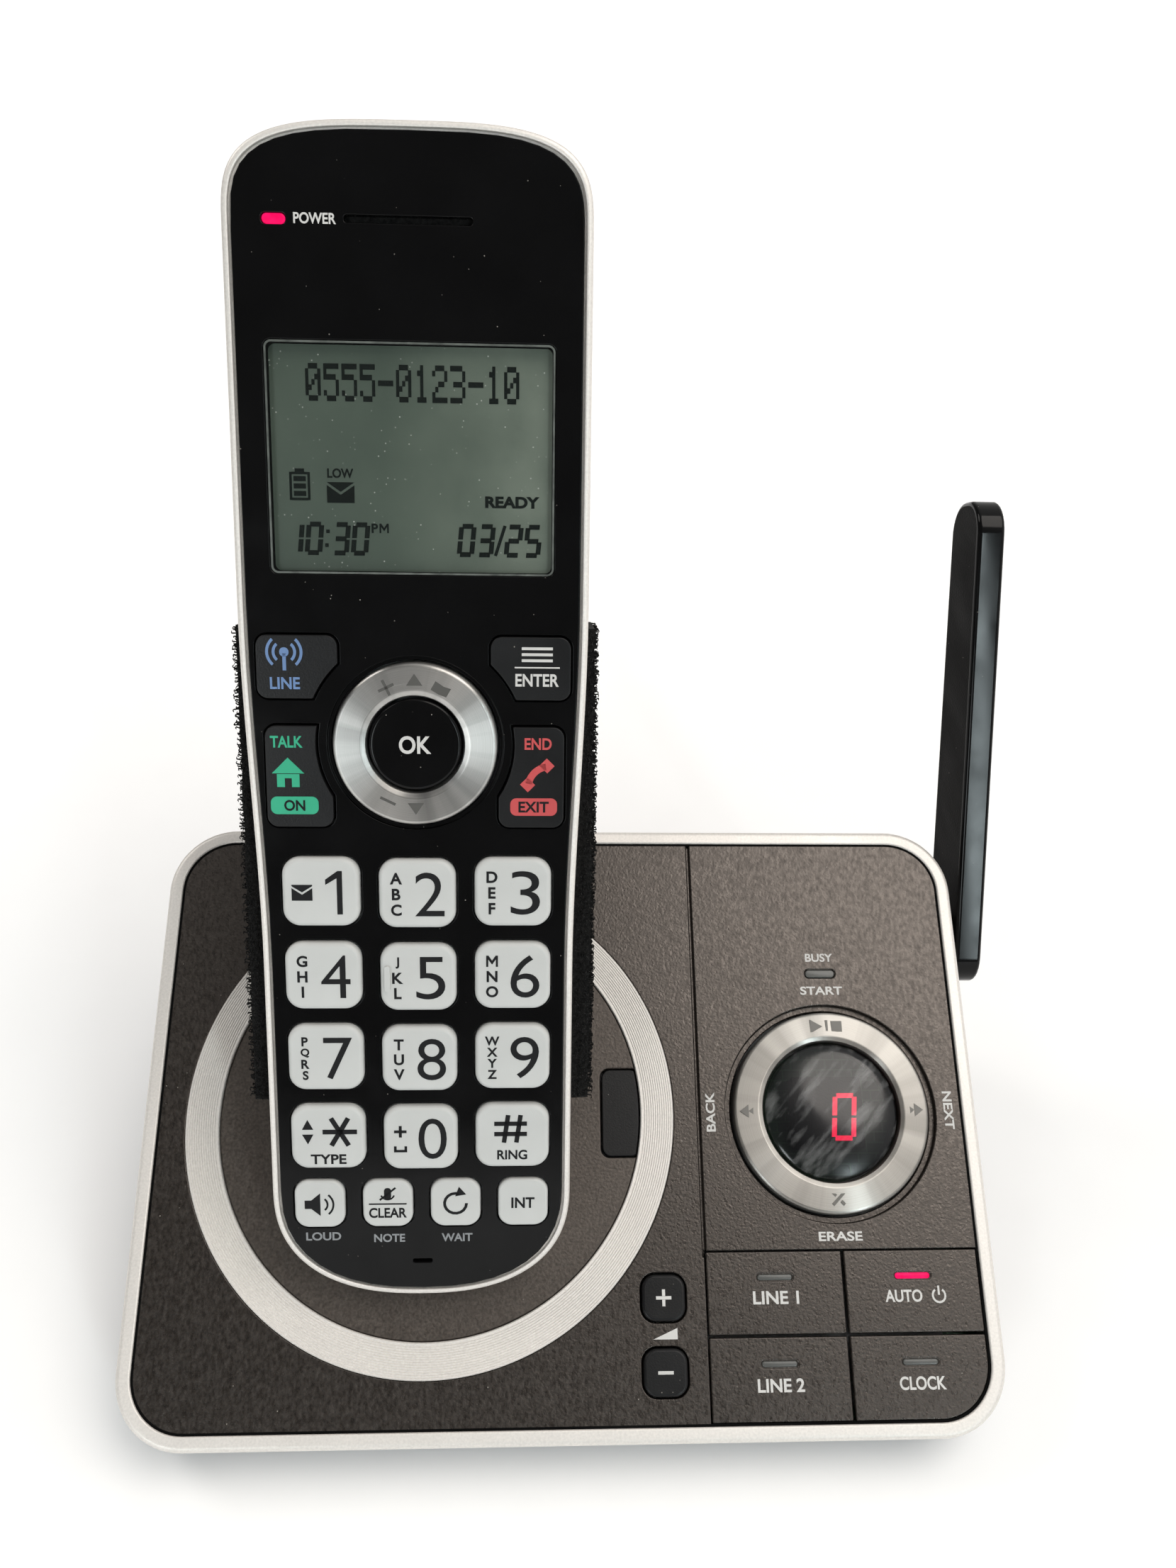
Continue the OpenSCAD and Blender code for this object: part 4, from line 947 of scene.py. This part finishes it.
def number_keys():
    """Twelve grey keys with digits, letters and signs."""
    letters = ["", "ABC", "DEF", "GHI", "JKL", "MNO", "PQRS", "TUV", "WXYZ", "", "", ""]
    signs = "123456789*0#"
    for i, key in enumerate(NUMBER_KEYS):
        matrix = moved(HAND, *number_centre(i))
        stands_for(key + "_cap", key_cap(KEY_W, KEY_H, KEY_R, KEY_RISE, KEY_EDGE), matrix, key)
        items = key_signs(signs[i]) + key_letters(letters[i])
        printed(key + "_legend", items, KEY_RISE, matrix, key, INK_DARK)
        if signs[i] == "5":
            printed(key + "_bar", [pill((-4.55, 0), (0.8, 4.0), 0.38)], KEY_RISE, matrix, key,
                    FINISHES["key_grey"], 0.45)


def small_keys():
    """Four small grey keys of the lowest row."""
    speaker = [(-2.3, -0.7), (-1.3, -0.7), (0.1, -1.9), (0.1, 1.9), (-1.3, 0.7), (-2.3, 0.7)]
    signs = {
        "key_speaker": [flat(speaker), arc((0, 0), 1.2, -50, 50, 0.3), arc((0, 0), 2.1, -50, 50, 0.3)],
        "key_mute": [pill((0, 1.75), (1.1, 1.9), 0.5), arc((0, 1.8), 1.05, 200, 340, 0.25),
                     bar((0, 1.7), (3.2, 0.3), 40), bar((0, 0), (5.8, 0.22)),
                     words("CLEAR", (0, -1.5), (5.8, 1.7))],
        "key_redial": [arc((0, 0), 1.7, 70, 360, 0.45), wedge((0.95, 1.75), (1.5, 1.7), -20)],
        "key_intercom": [words("INT", (0, 0), (3.6, 1.8))],
    }
    for i, key in enumerate(SMALL_KEYS):
        matrix = moved(HAND, (i - 1.5) * SMALL_PITCH, SMALL_Y)
        stands_for(key + "_cap", key_cap(SMALL_W, SMALL_H, SMALL_R, SOFT_RISE, SMALL_EDGE), matrix, key)
        printed(key + "_legend", signs[key], SOFT_RISE, matrix, key, INK_DARK)
    tall = 1.4
    captions = [words("LOUD", (-15.3, -77.9), (5.4, tall)), words("NOTE", (-5.1, -78.3), (4.8, tall)),
                words("WAIT", (5.4, -78.3), (4.8, tall))]
    printed("small_key_captions", captions, 0.0, HAND, "handset", INK_GREY)


def soft_keys():
    """Four black keys beside the navigation ring, with coloured signs."""
    for key in SOFT_KEYS:
        soft_piece(key, 0.15)
    mast = (-18.2, 13.1)
    line = [bar((mast[0], mast[1] - 1.4), (0.5, 2.4)), pill(mast, (1.3, 1.3), 0.6),
            words("LINE", (-18.2, 8.7), (4.2, 1.7))]
    for r in (1.5, 2.4):
        line += [arc(mast, r, -48, 48, 0.4), arc(mast, r, 132, 228, 0.4)]
    printed("soft_key_left_legend", line, SOFT_RISE, HAND, "soft_key_left", INK_BLUE)
    menu_x = 17.4
    menu = [bar((menu_x, 12.2 + i * 0.85), (4.4, 0.4)) for i in range(3)]
    menu += [bar((menu_x, 11.2), (6.4, 0.2)), words("ENTER", (menu_x, 9.4), (6.2, 1.8))]
    printed("soft_key_right_legend", menu, SOFT_RISE, HAND, "soft_key_right", INK_WHITE)
    plate = (6.8, 2.6)
    plate_r = 0.9
    house = (-18.2, -4.2)
    roof = [(-2.3, -0.1), (2.3, -0.1), (0, 2.2)]
    walls = [(-1.6, -2.1), (-0.5, -2.1), (-0.5, -0.8), (0.5, -0.8), (0.5, -2.1), (1.6, -2.1), (1.6, -0.2),
             (-1.6, -0.2)]
    talk_plate = (-17.4, -9.0)
    talk = [placed(house, roof), placed(house, walls), words("TALK", (-18.3, 0.3), (4.6, 1.7)),
            pill(talk_plate, plate, plate_r)]
    printed("talk_key_legend", talk, SOFT_RISE, HAND, "talk_key", INK_GREEN)
    talk_word = [words("ON", talk_plate, (3.0, 1.6))]
    printed("talk_key_word", talk_word, SOFT_RISE + INK, HAND, "talk_key", INK_DARK)
    x, y = 17.3, -4.2
    slope = 45
    end_plate = (17.0, -9.1)
    end = [arc((x + 2.0, y - 2.0), 3.1, 100, 170, 1.0), bar((x + 1.6, y + 1.2), (1.5, 1.6), slope),
           bar((x - 1.2, y - 1.6), (1.5, 1.6), slope), words("END", (17.6, 0.2), (3.9, 1.7)),
           pill(end_plate, plate, plate_r)]
    printed("end_key_legend", end, SOFT_RISE, HAND, "end_key", INK_RED)
    end_word = [words("EXIT", end_plate, (4.4, 1.6))]
    printed("end_key_word", end_word, SOFT_RISE + INK, HAND, "end_key", INK_DARK)


def navigation():
    """Turned ring with its signs, and the key in its middle."""
    turned_ring("navigation_ring_turned", "navigation_ring", HAND, NAV_BORE, NAV_R, NAV_TOP, NAV_FOOT)
    middle = (NAV_R + NAV_BORE) / 2
    arrow = (1.7, 2.3)
    level = (2.4, 0.4)
    upright = (0.4, 2.4)
    slope = 26
    marks = [wedge((0, middle), arrow, 90), wedge((0, -middle), arrow, -90), bar((-4.0, 8.2), level, slope),
             bar((-4.0, 8.2), upright, slope), bar((-4.0, -8.2), level, -slope),
             flat([(3.0, 9.2), (4.2, 8.4), (5.2, 8.1), (4.5, 6.9), (3.4, 7.3), (2.3, 8.0)])]
    printed("navigation_marks", marks, NAV_TOP, HAND, "navigation_ring", RING_MARK)
    steps = 8
    edge = 0.5
    dome = 0.1
    profile = [(SELECT_R, NAV_FOOT)]
    profile += [(SELECT_R - inset, NAV_TOP - dome - drop) for inset, drop in quarter(edge)]
    profile += [(SELECT_R * (1 - i / steps), NAV_TOP - dome * (1 - i / steps)) for i in range(1, steps)]
    stands_for("select_key_cap", lathed("select_key_cap", profile, 96), HAND, "select_key")
    sign = [words("OK", (0, 0), (4.6, 2.6))]
    printed("select_key_legend", sign, NAV_TOP - INK, HAND, "select_key", INK_WHITE)


DOT_FONT = {
    "0": "01110 10001 10011 10101 11001 10001 01110",
    "1": "00100 01100 00100 00100 00100 00100 01110",
    "2": "01110 10001 00001 00110 01000 10000 11111",
    "3": "11110 00001 00001 01110 00001 00001 11110",
    "5": "11111 10000 11110 00001 00001 10001 01110",
    "-": "00000 00000 00000 11111 00000 00000 00000",
}


def dot_line(text, left, top, pitch):
    """Dots of a line of five by seven characters, with a fine gap between the dots."""
    filled = 1.05
    dots = []
    for i, letter in enumerate(text):
        for j, row in enumerate(DOT_FONT[letter].split()):
            for k, mark in enumerate(row):
                if mark == "1":
                    spot = (left + (6 * i + k) * pitch[0], top - j * pitch[1])
                    dots.append(bar(spot, (filled * pitch[0], filled * pitch[1])))
    return dots


def display():
    """Display with its dark segments against the window, and a pale ring round the window, painted highlight of
    light on its bevel.
    """
    margin = 0.35
    thin = 0.02
    plate = [pill((0, WINDOW_Y), (WINDOW_W - 2 * margin, WINDOW_H - 2 * margin), 0.9)]
    printed("display_face", plate, LCD_Z - 2 * thin, HAND, "handset", FINISHES["display_glass"], thin)
    # Painted highlight round the window's edge
    glint_w = 0.28
    top = -0.1
    foot = -0.3
    profile = [(thin, foot), (thin, top), (glint_w, top), (glint_w, foot)]
    mesh = lofted("window_glint", corner_loops(WINDOW_W, WINDOW_H, 1.0, profile), True)
    shown("window_glint", mesh, moved(HAND, 0, WINDOW_Y), "handset", WINDOW_GLINT)
    items = dot_line("0555-0123-10", -14.2, 51.85, (0.41, 0.7))
    clock_y = 28.8
    clock = [(-16.5, "1"), (-13.8, "0"), (-10.1, "3"), (-7.4, "0"), (7.4, "0"), (10.1, "3"), (14.0, "2"),
             (16.7, "5")]
    for x, digit in clock:
        items += seven_segments(digit, (x, clock_y), (1.75, 3.9), 0.68)
    items += [bar((-11.9, 29.8), (0.5, 0.5)), bar((-12.1, 27.9), (0.5, 0.5)),
              bar((12.1, clock_y), (0.45, 4.4), -18), words("P", (-5.4, 30.3), (0.9, 1.3), weight=0.03),
              letter_m((-4.1, 30.3), (1.3, 1.3)), words("READY", (13.8, 34.1), (7.6, 1.6), weight=0.045),
              words("LOW", (-10.0, 37.7), (3.6, 1.3), weight=0.03)]
    x, y = -15.6, 35.9
    items += [bar((x + side * 1.25, y), (0.35, 3.8)) for side in (-1, 1)]
    items += [bar((x, y + side * 1.75), (2.2, 0.35)) for side in (-1, 1)]
    items += [bar((x, y + 2.15), (1.3, 0.45))]
    items += [bar((x, y + charge), (1.7, 0.7)) for charge in (-1.0, 0.0, 1.0)]
    items += [flat([(-11.9, 33.7), (-8.1, 33.7), (-8.1, 36.1), (-10.0, 34.8), (-11.9, 36.1)]),
              flat([(-11.9, 36.5), (-10.0, 35.2), (-8.1, 36.5)])]
    printed("display_segments", items, LCD_Z, HAND, "handset", SEGMENT, thin)


def strand(points, faces, path, r):
    """Adds a bent strand of three sides along a path to a list of points and faces."""
    sides = 3
    start = len(points)
    for x, y, z in path:
        for k in range(sides):
            a = tau * k / sides
            points.append((x, y + r * cos(a), z + r * sin(a)))
    for i in range(len(path) - 1):
        a = start + i * sides
        faces += [(a + k, a + (k + 1) % sides, a + sides + (k + 1) % sides, a + sides + k)
                  for k in range(sides)]
    last = start + (len(path) - 1) * sides
    faces += [tuple(start + k for k in range(sides)), tuple(last + k for k in range(sides))]


def tape():
    """Hook-and-loop tape on both sides: a backing, rows of hooks and fuzz along its front edge."""
    random.seed(7)
    backing = 25.7
    sway = 0.12
    clear = 0.12
    hook_r = 0.13
    fuzz_r = 0.1
    pitch = 0.8
    fuzz_pitch = 0.34
    front = STRIP_Z[1] - 0.5
    for side in (-1, 1):
        points = []
        faces = []
        steps = 24
        for i in range(steps + 1):
            y = STRIP_Y[0] + (STRIP_Y[1] - STRIP_Y[0]) * i / steps
            outer = backing + sway * sin(1.7 * i) * sin(pi * i / steps)
            inner = side_half(y) + clear
            points += [(side * inner, y, STRIP_Z[0] + 0.2), (side * outer, y, STRIP_Z[0] + 0.5),
                       (side * outer, y, front), (side * inner, y, front + 0.2)]
        for i in range(steps):
            for j in range(4):
                faces.append((4 * i + j, 4 * i + (j + 1) % 4, 4 * i + 4 + (j + 1) % 4, 4 * i + 4 + j))
        faces += [(0, 1, 2, 3), tuple(4 * steps + j for j in range(4))]
        rows = int((STRIP_Y[1] - STRIP_Y[0]) / pitch)
        cols = int((STRIP_Z[1] - STRIP_Z[0]) / pitch)
        for row in range(rows):
            for col in range(cols):
                y = STRIP_Y[0] + 0.6 + (row + random.uniform(-0.5, 0.5)) * pitch
                z = STRIP_Z[0] + 0.7 + (col + random.uniform(-0.4, 0.4)) * pitch
                lean = random.uniform(-0.5, 0.5)
                reach = (STRIP_HALF - backing - hook_r) * (1 - 0.65 * random.random())
                bend = random.choice((-1, 1)) * random.uniform(0.2, 0.5)
                path = [(0, 0, 0), (0.45 * reach, 0.2 * lean, 0), (0.85 * reach, 0.5 * lean, 0.15 * bend),
                        (reach, 0.6 * lean + 0.3 * bend, 0.2), (0.8 * reach, 0.6 * lean + 0.75 * bend, 0.2)]
                hook = [(side * (backing - 0.05 + out), y + up, z + along) for out, up, along in path]
                strand(points, faces, hook, hook_r)
        for row in range(int((STRIP_Y[1] - STRIP_Y[0]) / fuzz_pitch)):
            y = STRIP_Y[0] + 0.3 + row * fuzz_pitch
            inner = side_half(y) + 0.3
            for col in range(int((backing + 0.2 - inner) / fuzz_pitch)):
                x = inner + (col + random.random()) * fuzz_pitch
                across = random.uniform(-0.35, 0.35)
                up = random.uniform(-0.5, 0.5)
                rise = random.uniform(0.15, 0.55)
                path = [(side * x, y, front - 0.1),
                        (side * (x + 0.5 * across), y + 0.3 * up, front + 0.8 * rise),
                        (side * (x + across), y + up, front + rise)]
                strand(points, faces, path, fuzz_r)
        name = "tape_left" if side < 0 else "tape_right"
        piece = shown(name, mesh_of(name, points, faces), HAND, "handset", FINISHES["tape"], 60)
        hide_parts("hook_and_loop_strips")


def handset():
    handset_band()
    number_keys()
    small_keys()
    soft_keys()
    navigation()
    display()
    tape()
    soft_piece("handset_front", 0.12)
    soft_piece("handset_rear_shell", 0.15, merge=False)
    soft_piece("battery_door", 0.2)
    lamp("charge_lamp", (-17.75, 70.2), (3.1, 1.35), HAND, "handset", LAMP_LIT)
    slots = [bar((0, 70.35), (17.6, 1.6)), bar((0, -82.3), (3.4, 1.2))]
    printed("sound_cloth", slots, -1.4, HAND, "handset", CLOTH, 0.1)
    printed("charge_legend", [words("POWER", (-12.3, 70.3), (5.6, 1.4))], 0.0, HAND, "handset", INK_WHITE)


# Stage

def camera():
    """Camera at the photograph's viewpoint, placed from the base's face."""
    place_in_face = (-6.27, -24.52, 219.96)
    right = Vector((0.99895, -0.01164, 0.04425))
    back = Vector((-0.04547, -0.36019, 0.93177)).normalized()
    up = back.cross(right).normalized()
    right = up.cross(back)
    focal_px = 1760.0
    tall_px = 2212.0
    data = bpy.data.cameras.new("camera")
    data.sensor_width = 36.0
    data.lens = data.sensor_width * focal_px / tall_px
    data.clip_start = 0.01
    data.clip_end = 50.0
    made = added("camera", data)
    turn = Matrix((right, up, back)).transposed().to_4x4()
    made.matrix_world = FACE @ Matrix.Translation([c * MM for c in place_in_face]) @ turn
    bpy.context.scene.camera = made


def area_lamp(name, place_m, target_m, size_m, watts, tint):
    data = bpy.data.lights.new(name, "AREA")
    data.shape = "ELLIPSE"
    data.size, data.size_y = size_m
    data.energy = watts
    data.color = tint
    made = added(name, data)
    made.location = place_m
    made.rotation_euler = (Vector(target_m) - Vector(place_m)).to_track_quat("-Z", "Y").to_euler()


def white_floor():
    """White floor that keeps the shadow near the phone and shows white in the distance."""
    near = 0.08
    far = 1.2
    look = finish("floor", (0.92, 0.92, 0.92), 0.7, 0.01)
    shader = look.node_tree.nodes["Principled BSDF"]
    rays = node(look, "LightPath")
    seen = maths(look, "ADD", rays.outputs["Is Camera Ray"], rays.outputs["Is Glossy Ray"])
    seen = maths(look, "ADD", seen, rays.outputs["Is Transmission Ray"])
    distance = node(look, "VectorMath", [(0, place(look))], operation="LENGTH")
    share = spread(look, distance.outputs["Value"], 0.12, 0.7, near, far)
    shader.inputs["Emission Color"].default_value = (1, 1, 1, 1)
    link(look, maths(look, "MULTIPLY", seen, share), shader.inputs["Emission Strength"])
    return look


def sky():
    """Pale world, dimmer towards the left and the front's horizon."""
    back_share = 0.55
    right_share = 1.1
    dim = 0.17
    bright = 0.74
    world = bpy.data.worlds.new("studio")
    bpy.context.scene.world = world
    world.use_nodes = True
    background = world.node_tree.nodes["Background"]
    axes = node(world, "SeparateXYZ", [("Vector", node(world, "TexCoord").outputs["Generated"])])
    height = maths(world, "MULTIPLY_ADD", axes.outputs["Y"], back_share, axes.outputs["Z"])
    height = maths(world, "MULTIPLY_ADD", axes.outputs["X"], right_share, height)
    link(world, spread(world, height, dim, bright, 0.45, 1.05), background.inputs["Strength"])
    background.inputs["Color"].default_value = (1.0, 0.985, 0.965, 1)


def studio():
    """White floor, soft lamps and a pale world."""
    size = 4.0
    mesh = bpy.data.meshes.new("floor")
    corners = [(-size, -size, 0), (size, -size, 0), (size, size, 0), (-size, size, 0)]
    mesh.from_pydata(corners, [], [(0, 1, 2, 3)])
    floor = added("floor", mesh)
    mesh.materials.append(white_floor())
    middle = (0, 0.03, 0.07)
    area_lamp("key_lamp", (0.50, -0.18, 1.20), middle, (0.85, 0.85), 6.8, (1.0, 0.94, 0.88))
    area_lamp("right_lamp", (0.415, -0.79, 0.44), (0.075, 0.075, 0.08), (0.07, 0.55), 2.0, (0.84, 0.97, 1.0))
    area_lamp("left_lamp", (-0.43, -0.73, 0.33), middle, (0.25, 0.40), 1.8, (0.92, 0.98, 1.0))
    area_lamp("back_lamp", (-0.75, 0.30, 0.85), middle, (0.45, 0.45), 2.6, (1.0, 0.97, 0.93))
    sky()
    bpy.context.scene.view_settings.view_transform = "Standard"


for name, solid in frame["nodes"].items():
    solid.data.materials.clear()
    solid.data.materials.append(FINISHES[SLOT_OF[name]])
camera()
base()
handset()
studio()
